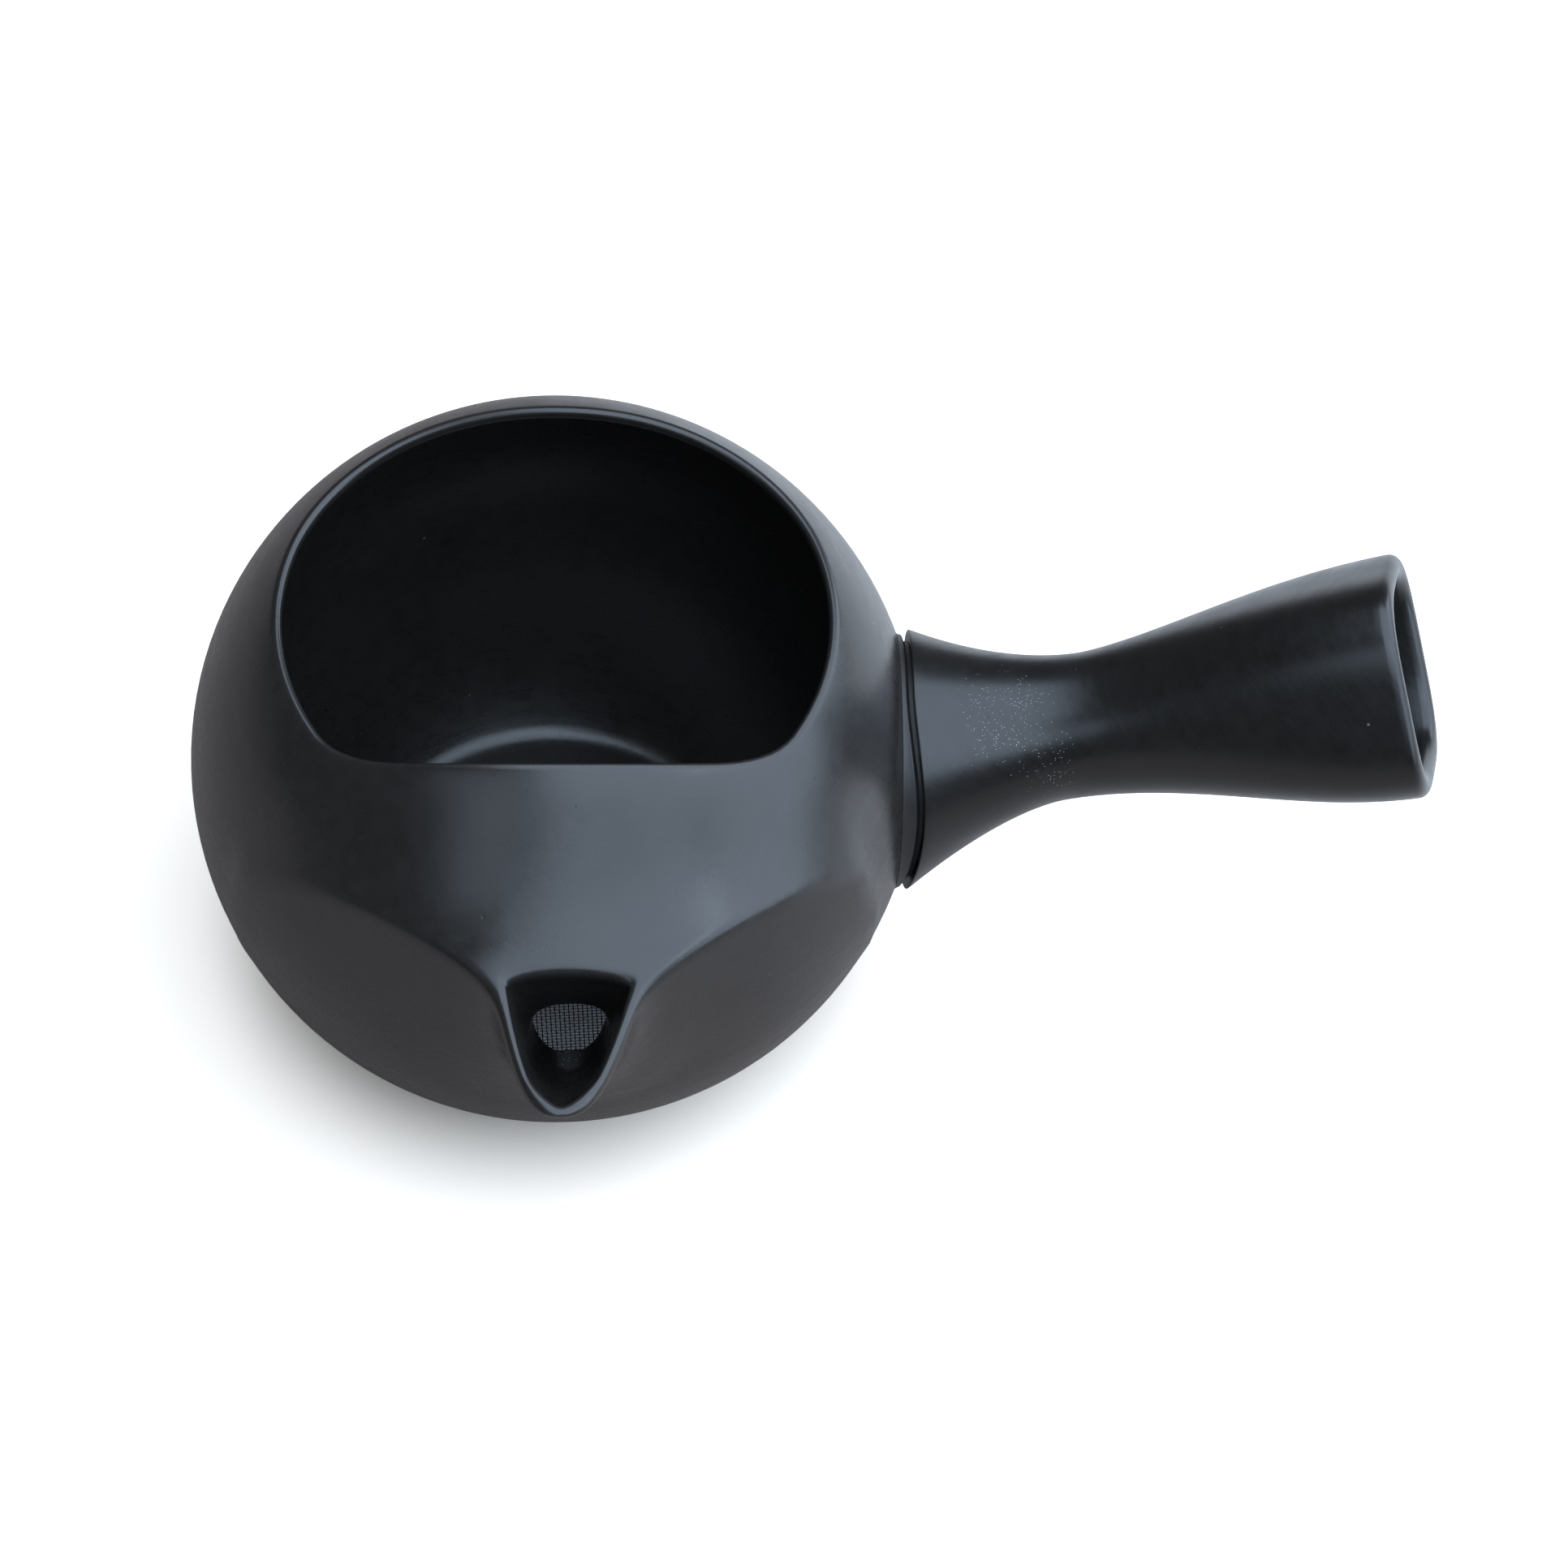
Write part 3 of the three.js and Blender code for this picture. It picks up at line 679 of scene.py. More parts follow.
@dataclass
class Spout:
    """A beak pulled out of the ball: half a cone below its deck, melted into the clay."""

    ball: Ball
    length: float = 19.5
    tip_height: float = 20.0
    tip_side: float = 0.5
    root_side: float = 1.7
    deck_slope: float = 8.8
    root_half_width: float = 9.7
    root_depth: float = 25.0
    width_taper: float = 0.42
    depth_taper: float = 0.85
    root_sink: float = 1.0
    start_sink: float = 17.0
    blend: float = 11.0
    flare_start: float = 17.5
    flare_slope: float = 0.95
    flare_ease: float = 2.5
    deck_flat: float = 8.0
    deck_crown: float = 28.0
    edge_blend: float = 1.6
    lip_back_gap: float = 0.4
    lip_tip_wall: float = 1.9
    lip_wall: float = 1.4
    lip_back_round: float = 1.6
    lip_front_round: float = 4.5
    hole_half_width: float = 4.6
    hole_half_height: float = 6.9
    hole_height: float = 5.55
    hole_taper: float = 0.26
    hole_power: float = 2.4
    halvings: int = 40

    @property
    def tip_reach(self) -> float:
        """The tip's distance from the pot's axis."""
        return self.ball.radius + self.length

    @property
    def root_reach(self) -> float:
        """The distance at which the spout leaves the ball."""
        return self.ball.radius - self.root_sink

    @property
    def ray_start(self) -> np.ndarray:
        """The point from which every ray meets the outer surface once."""
        return np.array([0, 0, -self.ball.lift / 2])

    def deck(self, reach: np.ndarray) -> np.ndarray:
        """The deck's height over the ball's centre, at a distance from the axis."""
        return self.tip_height + (self.tip_reach - reach) * math.tan(math.radians(self.deck_slope))

    def share(self, reach: np.ndarray) -> np.ndarray:
        """How much of the spout lies ahead of a distance: 0 at the tip, 1 at the root."""
        return np.maximum((self.tip_reach - reach) / (self.tip_reach - self.root_reach), 1e-4)

    def half_width(self, reach: np.ndarray) -> np.ndarray:
        """Half the spout's width at a distance from the axis."""
        return self.root_half_width * self.share(reach) ** self.width_taper

    def flare(self, reach: np.ndarray) -> np.ndarray:
        """How much wider the deck is than the spout, where it opens out onto the ball."""
        past = self.tip_reach - self.flare_start - reach
        return self.flare_slope * (past + np.hypot(past, self.flare_ease)) / 2

    def side(self, reach: np.ndarray) -> np.ndarray:
        """How far the spout's middle stands to the handle's side."""
        return self.tip_side + (self.root_side - self.tip_side) * np.minimum(self.share(reach), 1)

    def outside(self, p: np.ndarray) -> np.ndarray:
        """How far points are outside the pot's outer surface.

        Args:
            p: The points.

        Returns:
            The distances, below 0 inside the clay.
        """
        reach = -p[..., 1]
        half = self.half_width(reach) + self.flare(reach)
        depth = self.root_depth * np.minimum(self.share(reach), 1) ** self.depth_taper
        across = p[..., 0] - self.side(reach)
        fall = np.maximum(np.abs(across) - self.deck_flat, 0) ** 2 / (2 * self.deck_crown)
        above = p[..., 2] - self.deck(reach) + fall
        below = np.minimum(above, 0)
        round_ = np.hypot(across / half, below / depth)
        steep = np.hypot(across / half**2, below / depth**2)
        round_ = (round_ - 1) * round_ / np.maximum(steep, 1e-6)
        behind = self.ball.radius - self.start_sink - reach
        beak = np.maximum(smooth_max(round_, above, self.edge_blend), behind)
        beak = np.maximum(beak, reach - self.tip_reach)
        return smooth_min(np.linalg.norm(p, axis=-1) - self.ball.radius, beak, self.blend)

    def _edge(self, start: np.ndarray, way: np.ndarray, low: float, high: float) -> np.ndarray:
        """The last points inside the clay along lines, found by halving.

        Args:
            start: Where the lines start.
            way: The lines' directions.
            low: A distance along them that is inside.
            high: A distance along them that is outside.

        Returns:
            The points.
        """
        near = np.full(start.shape[:-1], low, float)
        far = np.full(start.shape[:-1], high, float)
        for _ in range(self.halvings):
            middle = (near + far) / 2
            inside = self.outside(start + way * middle[..., None]) < 0
            near = np.where(inside, middle, near)
            far = np.where(inside, far, middle)
        return start + way * near[..., None]

    def surface(self, azimuth: np.ndarray, elevation: np.ndarray) -> np.ndarray:
        """Where rays leave the pot's outer surface.

        Args:
            azimuth: The rays' angles round the pot, in degrees.
            elevation: The rays' angles over level, in degrees.

        Returns:
            The points.
        """
        way = self.ball.at(1, azimuth, elevation)
        start = np.broadcast_to(self.ray_start, way.shape)
        return self._edge(start, way, 1, 2 * self.tip_reach)

    def ray_to(self, p: np.ndarray) -> np.ndarray:
        """The azimuth and elevation of the rays that go to points.

        Args:
            p: The points.

        Returns:
            Two angles in degrees in each row.
        """
        out = np.hypot(p[..., 0], p[..., 1])
        azimuth = np.degrees(np.arctan2(p[..., 0], -p[..., 1]))
        elevation = np.degrees(np.arctan2(p[..., 2] - self.ray_start[2], out))
        return np.stack([azimuth, elevation], -1)

    def lip(self, plan: np.ndarray, grow: float, sink: float) -> np.ndarray:
        """Points on the lip, from its plan.

        Args:
            plan: The inner edge's turns round the opening.
            grow: How far outside the inner edge the points lie.
            sink: How far below the clay's face they lie.

        Returns:
            The points.
        """
        back_reach = self.ball.radius + self.lip_back_gap
        front_reach = self.tip_reach - self.lip_tip_wall
        half = (front_reach - back_reach) / 2 + grow
        reach = (front_reach + back_reach) / 2 + half * np.cos(plan)
        back = np.sqrt(1 - np.clip(1 - half * (1 + np.cos(plan)) / self.lip_back_round, 0, 1) ** 2)
        front = np.sqrt(1 - np.clip(1 - half * (1 - np.cos(plan)) / self.lip_front_round, 0, 1) ** 2)
        wide = self.half_width(reach) - self.lip_wall + grow
        side = self.side(reach) + wide * back * front * np.sign(np.sin(plan))
        start = points(side, -reach, self.deck(reach))
        up = np.broadcast_to(np.array([0, 0, 1.0]), start.shape)
        return self._edge(start, up, -self.blend / 2, self.blend) - up * sink

    def hole(self, turn: np.ndarray, radius: float, grow: float = 0) -> np.ndarray:
        """Points on the edge of the hole behind the strainer: a soft square, narrower
        near its foot.

        Args:
            turn: Angles round the hole from its foot.
            radius: The ball on which the points lie.
            grow: How far outside the edge they lie.

        Returns:
            The points.
        """
        across, down = np.sin(turn), np.cos(turn)
        power = self.hole_power
        out = (np.abs(across) ** power + np.abs(down) ** power) ** (-1 / power)
        width = self.hole_half_width * (1 - self.hole_taper * down * out) + grow
        x = self.root_side + width * across * out
        z = self.hole_height - (self.hole_half_height + grow) * down * out
        return points(x, -np.sqrt(radius**2 - x * x - z * z), z)


@dataclass
class PotBody:
    """The pot: one closed skin from the foot over the rim to the floor, with the
    spout's opening let into it."""

    ball: Ball = field(default_factory=Ball)
    back_step: float = 2.4
    flank_step: float = 1.25
    spout_step: float = 0.75
    spout_azimuth: float = 17.25
    flank_azimuth: float = 36.0
    rows_below: int = 34
    rows_spout: int = 31
    rows_above: int = 24
    rows_rim: int = 14
    rows_floor: int = 22
    rows_fillet: int = 6
    rows_deck: int = 18
    rows_throat: int = 18
    rows_wall: int = 8
    foot_shares: tuple[float, ...] = (0.2, 0.5, 0.8, 0.94)
    floor_shares: tuple[float, ...] = (0.85, 0.6, 0.3)
    window_below_tip: float = 2.6
    window_over_deck: float = 3.4
    rim_drop: float = 1.35
    lip_corners: tuple[int, ...] = (-52, 52, 146, 214)
    hole_corners: tuple[int, ...] = (-45, 45, 135, 225)
    steps_in_degree: int = 10
    deck_crowding: float = 1.9
    throat_dip: float = 0.25
    throat_pull: float = 0.34
    mouth_pull: float = 3.0
    hole_land: float = 1.2
    hole_edge: tuple[Pair, ...] = ((0, 0.5), (0.08, 0.2), (0.28, 0.04), (0.6, 0))
    lip_section: tuple[Pair, ...] = (
        (0.01, 0.16),
        (0.05, 0.38),
        (0.13, 0.60),
        (0.26, 0.79),
        (0.44, 0.92),
        (0.66, 0.98),
        (0.92, 0.95),
        (1.16, 0.83),
        (1.40, 0.61),
        (1.62, 0.30),
        (1.80, -0.08),
        (1.92, -0.52),
        (1.98, -0.95),
    )
    inner_low: float = -8.0
    inner_high: float = 20.0
    lip_edge: tuple[Pair, ...] = (
        (1.15, 0.0),
        (0.86, 0.03),
        (0.6, 0.1),
        (0.38, 0.22),
        (0.2, 0.38),
        (0.08, 0.6),
        (0.02, 0.86),
        (0.0, 1.15),
    )

    def __post_init__(self) -> None:
        """Pulls the spout out of the ball."""
        self.spout = Spout(self.ball)

    def azimuths(self) -> np.ndarray:
        """Azimuths round the pot from the back, closest over the spout.

        Returns:
            The angles in degrees.
        """
        back = np.arange(-180, -self.flank_azimuth, self.back_step)
        flanks = round((self.flank_azimuth - self.spout_azimuth) / self.flank_step)
        flank = np.linspace(-self.flank_azimuth, -self.spout_azimuth, flanks, endpoint=False)
        count = round(2 * self.spout_azimuth / self.spout_step)
        front = np.linspace(-self.spout_azimuth, self.spout_azimuth, count + 1)
        left = np.concatenate([back, flank])
        return np.concatenate([left, front, -left[:0:-1]])

    def _outer_rows(self, azimuth: np.ndarray) -> list[np.ndarray]:
        """The elevations of the outer rows' rays.

        Args:
            azimuth: Angles round the pot, in degrees.

        Returns:
            One array for each row.
        """
        spout, ball = self.spout, self.ball
        foot_z = -ball.lift + ball.foot_round / 2
        foot_latitude = math.degrees(math.asin(foot_z / ball.radius))
        foot = spout.ray_to(ball.at(ball.radius, azimuth, foot_latitude))[:, 1]
        rim = spout.ray_to(ball.at(ball.radius, azimuth, ball.rim_latitude(azimuth)))[:, 1]
        tip = spout.ray_to(points(0, -spout.tip_reach, spout.tip_height))[1] - self.window_below_tip
        back = ball.radius + spout.lip_back_gap
        deck = spout.ray_to(points(0, -back, spout.deck(back)))[1] + self.window_over_deck
        counts = (self.rows_below, self.rows_spout, self.rows_above)
        rows = steps_between((foot, tip, deck, rim), counts)
        return [row + 0 * azimuth for row in rows] + [rim]

    def _rings(self) -> tuple[list[np.ndarray], range, range]:
        """All rings of the skin, from the middle of the foot to the middle of the floor.

        Returns:
            The rings, and the rows of the outer and the inner window round the spout.
        """
        ball, azimuth = self.ball, self.azimuths()
        edge, flat = ball.foot_round, ball.foot_radius - ball.foot_round
        rings = [ball.level(flat * s, azimuth, -ball.lift) for s in self.foot_shares]
        for turn in (0, 0.5):
            out = flat + edge * ball.foot_round_run * math.sin(turn)
            rise = edge * ball.foot_round_rise * (1 - math.cos(turn))
            rings.append(ball.level(out, azimuth, -ball.lift + rise))
        outer_start = len(rings)
        outer = [self.spout.surface(azimuth, row) for row in self._outer_rows(azimuth)]
        rings += outer
        rim = ball.rim_latitude(azimuth)
        outer_edge, inner_edge = outer[-1], ball.inside(azimuth, rim)
        across = (inner_edge - outer_edge) / ball.rim_wall
        up = ball.at(1, azimuth, rim + 90)
        rings += [outer_edge + across * inward + up * rise for inward, rise in self.lip_section]
        drop = math.degrees(self.rim_drop / ball.radius)
        floor_z = -ball.lift + ball.floor_thickness
        fillet_z = floor_z + ball.floor_fillet
        fillet_out = math.sqrt((ball.inner_radius - ball.floor_fillet) ** 2 - fillet_z**2)
        fillet_top = math.atan2(fillet_z, fillet_out)
        stops = (rim - drop, self.inner_high, self.inner_low, math.degrees(fillet_top))
        counts = (self.rows_rim, self.rows_spout, self.rows_floor)
        inner_start = len(rings) + self.rows_rim
        rings += [ball.inside(azimuth, row + 0 * azimuth) for row in steps_between(stops, counts)]
        for turn in np.linspace(fillet_top, -math.pi / 2, self.rows_fillet + 1):
            out = fillet_out + ball.floor_fillet * math.cos(turn)
            height = fillet_z + ball.floor_fillet * math.sin(turn)
            rings.append(ball.level(out, azimuth, height))
        rings += [ball.level(fillet_out * s, azimuth, floor_z) for s in self.floor_shares]
        first = outer_start + self.rows_below
        window = range(first, first + self.rows_spout + 1)
        return rings, window, range(inner_start, inner_start + self.rows_spout + 1)

    def _window_loop(self, rows: range, columns: range, top_last: bool) -> list[tuple[int, int]]:
        """The grid places round a window, from its foot's left corner over the right.

        Args:
            rows: The window's rows.
            columns: The window's columns.
            top_last: Whether the last row is the top one.

        Returns:
            Row and column of each place, round by the foot, the right, the top and the
            left side.
        """
        ordered = list(rows) if top_last else list(rows)[::-1]
        low, high = ordered[0], ordered[-1]
        left, right = columns[0], columns[-1]
        loop = [(low, c) for c in columns[:-1]]
        loop += [(r, right) for r in ordered[:-1]]
        loop += [(high, c) for c in list(columns)[:0:-1]]
        loop += [(r, left) for r in ordered[:0:-1]]
        return loop

    def _matched(self, curve: np.ndarray, corners: tuple[int, ...], columns: int) -> np.ndarray:
        """Turns along a closed curve that match a window's four sides.

        Args:
            curve: Dense points of the curve, from the turn 0.
            corners: The curve's turns in degrees at the window's corners, from the
                foot's left.
            columns: How many steps the window's foot and top have.

        Returns:
            The turns, one for each place of the window's loop.
        """
        count = len(curve)
        steps = (columns, self.rows_spout, columns, self.rows_spout)
        turns = []
        for number, start, end in zip(steps, corners, corners[1:] + (corners[0] + 360,)):
            index = np.arange(start * self.steps_in_degree, end * self.steps_in_degree + 1)
            part = np.column_stack([index, curve[index % count]])
            lengths = np.linalg.norm(np.diff(part[:, 1:], axis=0), axis=1)
            walked = np.concatenate([[0], np.cumsum(lengths)])
            stops = np.linspace(0, walked[-1], number + 1)[:-1]
            turns.append(np.interp(stops, walked, index) * math.tau / count)
        return np.concatenate(turns)

    def _opening(self, outer: np.ndarray, inner: np.ndarray, columns: int) -> list[np.ndarray]:
        """The rings that lead from the outer window over the lip and down to the inner
        window.

        Args:
            outer: The outer window's points.
            inner: The inner window's points.
            columns: How many steps a window's foot has.

        Returns:
            The rings, the last of which lies on the inner window.
        """
        spout, ball = self.spout, self.ball
        dense = turns_round(360 * self.steps_in_degree)
        lip_turns = self._matched(spout.lip(dense, 0, 0), self.lip_corners, columns)
        hole_turns = self._matched(spout.hole(dense, ball.radius), self.hole_corners, columns)
        edge = [spout.lip(lip_turns, grow, sink) for grow, sink in self.lip_edge]
        outer_rays, lip_rays = spout.ray_to(outer), spout.ray_to(edge[0])
        rings = []
        for share in np.linspace(0, 1, self.rows_deck + 1)[1:-1]:
            near = 1 - (1 - share) ** self.deck_crowding
            rings.append(spout.surface(*(outer_rays + (lip_rays - outer_rays) * near).T))
        rings += edge
        throat = edge[-1] - np.array([0, 0, self.throat_dip])
        mouth = spout.hole(hole_turns, ball.radius - spout.root_sink)
        outward = mouth / np.linalg.norm(mouth, axis=1)[:, None]
        leave = throat + (mouth - throat) * self.throat_pull
        pulls = (throat, leave, mouth + outward * self.mouth_pull, mouth)
        for s in np.linspace(0, 1, self.rows_throat):
            weights = ((1 - s) ** 3, 3 * s * (1 - s) ** 2, 3 * s * s * (1 - s), s**3)
            rings.append(sum(w * p for w, p in zip(weights, pulls)))
        rings.append(spout.hole(hole_turns, ball.radius - spout.root_sink - self.hole_land))
        for grow, radius in self.hole_edge:
            rings.append(spout.hole(hole_turns, ball.inner_radius + radius, grow))
        start = rings[-1]
        for share in np.linspace(0, 1, self.rows_wall + 1)[1:]:
            p = start + (inner - start) * share
            rings.append(p * ball.inner_radius / np.linalg.norm(p, axis=1)[:, None])
        rings[-1] = inner
        return rings

    def build(self) -> bpy.types.Object:
        """Draws the pot.

        Returns:
            The finished piece.
        """
        rings, outer_rows, inner_rows = self._rings()
        drawing = RingDrawing("pot_body_clay", rings, self.ball.lift)
        last = drawing.rows - 1
        azimuth = self.azimuths()
        inside = np.flatnonzero(np.abs(azimuth) <= self.spout_azimuth + 1e-6)
        columns = range(inside[0], inside[-1] + 1)
        outer_loop = self._window_loop(outer_rows, columns, top_last=True)
        inner_loop = self._window_loop(inner_rows, columns, top_last=False)
        outer = np.array([rings[r][c] for r, c in outer_loop])
        inner = np.array([rings[r][c] for r, c in inner_loop])
        for rows in (outer_rows, inner_rows):
            self._cut_window(drawing, rows, columns)
        self._take_loop(drawing, outer_loop)
        for ring in self._opening(outer, inner, len(columns) - 1):
            drawing.extrude(ring)
        drawing.close_on_axis(0, 0)
        drawing.close_on_axis(last, self.ball.floor_thickness)
        return drawing.finish(smooth_angle=60)

    def _cut_window(self, drawing: RingDrawing, rows: range, columns: range) -> None:
        """Deletes the faces inside a window.

        Args:
            drawing: The pot's drawing.
            rows: The window's rows.
            columns: The window's columns.
        """
        drawing.select_none("FACE")
        mesh, place, row = drawing.layers()
        for face in mesh.faces:
            face.select_set(all(v[row] in rows and v[place] in columns for v in face.verts))
        bmesh.update_edit_mesh(drawing.piece.data)
        bpy.ops.mesh.delete(type="FACE")

    def _take_loop(self, drawing: RingDrawing, loop: list[tuple[int, int]]) -> None:
        """Selects a window's edges and numbers their vertices in order.

        Args:
            drawing: The pot's drawing.
            loop: Row and column of each place round the window.
        """
        drawing.select_none("EDGE")
        mesh, place, row = drawing.layers()
        order = {key: number for number, key in enumerate(loop)}
        found = {v: order[(v[row], v[place])] for v in mesh.verts if (v[row], v[place]) in order}
        for edge in mesh.edges:
            if edge.is_boundary and all(v in found for v in edge.verts):
                edge.select_set(True)
        for vert, number in found.items():
            vert[place] = number
        bmesh.update_edit_mesh(drawing.piece.data)


@dataclass
class Handle:
    """The hollow side handle, its open end, and the bead of slip that holds it."""

    ball: Ball = field(default_factory=Ball)
    tilt: float = 19.0
    swing: float = 1.8
    bow: float = 1.6
    seat_sink: float = 1.0
    length: float = 69.4
    seat_radius: float = 17.5
    neck_radius: float = 9.6
    neck_at: float = 23.5
    end_radius: float = 15.1
    wall: float = 3.2
    flare_power: float = 1.7
    swell_power: float = 1.7
    squareness: float = 1.4
    ridge_angle: float = 82.0
    collar_height: float = 0.25
    collar_rise: float = 1.25
    collar_rise_at: float = 25.0
    collar_rise_spread: float = 62.0
    collar_inset: float = 0.6
    collar_width: float = 1.1
    bead_neck: float = 0.7
    clearance: float = 0.3
    seat_edge: float = 0.45
    sides: int = 128
    rows_seat: int = 4
    rows_outside: int = 63
    rows_end: int = 14
    rows_inside: int = 39

    def __post_init__(self) -> None:
        """Sets the handle's axis and the two directions across it."""
        tilt, swing = math.radians(self.tilt), math.radians(-self.swing)
        level = np.array([math.cos(swing), math.sin(swing), 0])
        upright = np.array([0, 0, 1.0])
        self.axis = level * math.cos(tilt) + upright * math.sin(tilt)
        self.top = upright * math.cos(tilt) - level * math.sin(tilt)
        self.forward = -np.cross(self.top, self.axis)
        self.seat = np.array([self.ball.radius - self.seat_sink, 0, 0])

    def beside(self, along: np.ndarray, turn: np.ndarray, out: np.ndarray) -> np.ndarray:
        """Points beside the handle's axis.

        Args:
            along: Distances along the axis.
            turn: Angles round it, from the front over the top.
            out: Distances from it.

        Returns:
            The points, from the ball's centre.
        """
        along, turn, out = (v[..., None] for v in np.broadcast_arrays(along, turn, out))
        across = self.forward * np.cos(turn) + self.top * np.sin(turn)
        return self.seat + self.axis * along + across * out

    def leaves_ball(self, turn: np.ndarray, out: np.ndarray, radius: np.ndarray) -> np.ndarray:
        """How far along the handle lines beside its axis come out of a ball.

        Args:
            turn: The lines' angles round the axis.
            out: Their distances from it.
            radius: The ball's radius.

        Returns:
            The distances along the axis.
        """
        start = self.beside(0, turn, out)
        ahead = start @ self.axis
        return np.sqrt(ahead * ahead - (start**2).sum(-1) + radius**2) - ahead

    def bead(self, turn: np.ndarray, level: BeadLevel) -> np.ndarray:
        """The height over the ball of one level of the luting bead.

        Args:
            turn: Angles round the handle's axis.
            level: The level.

        Returns:
            The heights.
        """
        degrees = (np.degrees(turn) - self.collar_rise_at + 180) % 360 - 180
        away = np.minimum(np.abs(degrees) / self.collar_rise_spread, 1)
        collar = self.collar_height + self.collar_rise * np.cos(away * math.pi / 2) ** 2
        if level is BeadLevel.BALL:
            return 0 * turn
        return collar if level is BeadLevel.COLLAR else collar + self.bead_neck

    def _whole(self, turn: np.ndarray, inset: float) -> np.ndarray:
        """The handle's length from its seat, at each turn and depth in its wall."""
        seat_ball = self.ball.radius + 2 * self.clearance + self.bead(turn, BeadLevel.NECK)
        return self.length - self.leaves_ball(turn, self.seat_radius - inset, seat_ball)

    def _ring(self, share: float, inset: float, lift: float = 0) -> np.ndarray:
        """A ring of the handle.

        Args:
            share: How far from the seat to the end the ring lies.
            inset: How deep in the wall it lies.
            lift: How far the ring is moved on along the axis.

        Returns:
            The ring's points.
        """
        turn = turns_round(self.sides)
        whole = self._whole(turn, inset)
        past = whole * share + lift
        flare = np.maximum(1 - past / self.neck_at, 0) ** self.flare_power
        grown = np.clip((past - self.neck_at) / (whole - self.neck_at), 0, 1)
        swell = np.sin(grown * math.pi / 2) ** self.swell_power
        radius = self.neck_radius + (self.seat_radius - self.neck_radius) * flare
        radius = radius + (self.end_radius - self.neck_radius) * swell
        power = 2 + self.squareness * smooth_step(past, self.neck_at, whole)
        from_ridge = turn - math.radians(self.ridge_angle) + math.pi / 4
        norm = np.abs(np.cos(from_ridge)) ** power + np.abs(np.sin(from_ridge)) ** power
        out = (radius - inset) * norm ** (-1 / power)
        bow = self.bow * np.sin(math.pi * past / whole) ** 2
        return self.beside(self.length - whole + past, turn, out) + self.top * bow[:, None]

    def build(self) -> bpy.types.Object:
        """Draws the handle's shell.

        Returns:
            The finished piece.
        """
        seat_edge, round_ = self.seat_edge, self.wall / 2
        rings = []
        for turn in np.linspace(0, math.pi / 2, self.rows_seat + 1):
            inset = seat_edge * (1 - math.sin(turn))
            rings.append(self._ring(0, inset, seat_edge * (1 - math.cos(turn))))
        mean = float(self._whole(turns_round(self.sides), 0).mean())
        low, high = seat_edge / mean, 1 - round_ / mean
        for share in np.linspace(low, high, self.rows_outside + 1)[1:]:
            rings.append(self._ring(share, 0))
        for bend in np.linspace(0, math.pi, self.rows_end + 1)[1:-1]:
            inset = round_ * (1 - math.cos(bend))
            rings.append(self._ring(high, inset, round_ * math.sin(bend)))
        for share in np.linspace(high, 0, self.rows_inside + 1):
            rings.append(self._ring(share, self.wall))
        drawing = RingDrawing("handle_clay", rings, self.ball.lift)
        drawing.close_on_itself()
        return drawing.finish()

    def build_bead(self) -> bpy.types.Object:
        """Draws the bead of slip between the ball and the handle.

        Returns:
            The finished piece.
        """
        outer = self.seat_radius - self.collar_inset
        neck = outer - self.collar_width
        inner = self.seat_radius - self.wall
        turn = turns_round(self.sides)
        section = (
            (inner, BeadLevel.BALL, 0),
            (inner, BeadLevel.NECK, 0),
            (neck - 0.3, BeadLevel.NECK, 0),
            (neck - 0.08, BeadLevel.NECK, 0.06),
            (neck, BeadLevel.NECK, 0.25),
            (neck + 0.03, BeadLevel.COLLAR, -0.12),
            (neck + 0.14, BeadLevel.COLLAR, 0),
            (outer - 0.2, BeadLevel.COLLAR, 0),
            (outer - 0.07, BeadLevel.COLLAR, 0.03),
            (outer, BeadLevel.COLLAR, 0.1),
            (outer + 0.02, BeadLevel.COLLAR, 0.2),
            (outer + 0.1, BeadLevel.BALL, 0.1),
            (outer + 0.26, BeadLevel.BALL, 0.27),
        )
        rings = []
        for out, level, drop in section:
            height = self.ball.radius + self.clearance + self.bead(turn, level) - drop
            rings.append(self.beside(self.leaves_ball(turn, out, height), turn, out))
        drawing = RingDrawing("luting_bead", rings, self.ball.lift)
        drawing.close_on_itself()
        return drawing.finish()


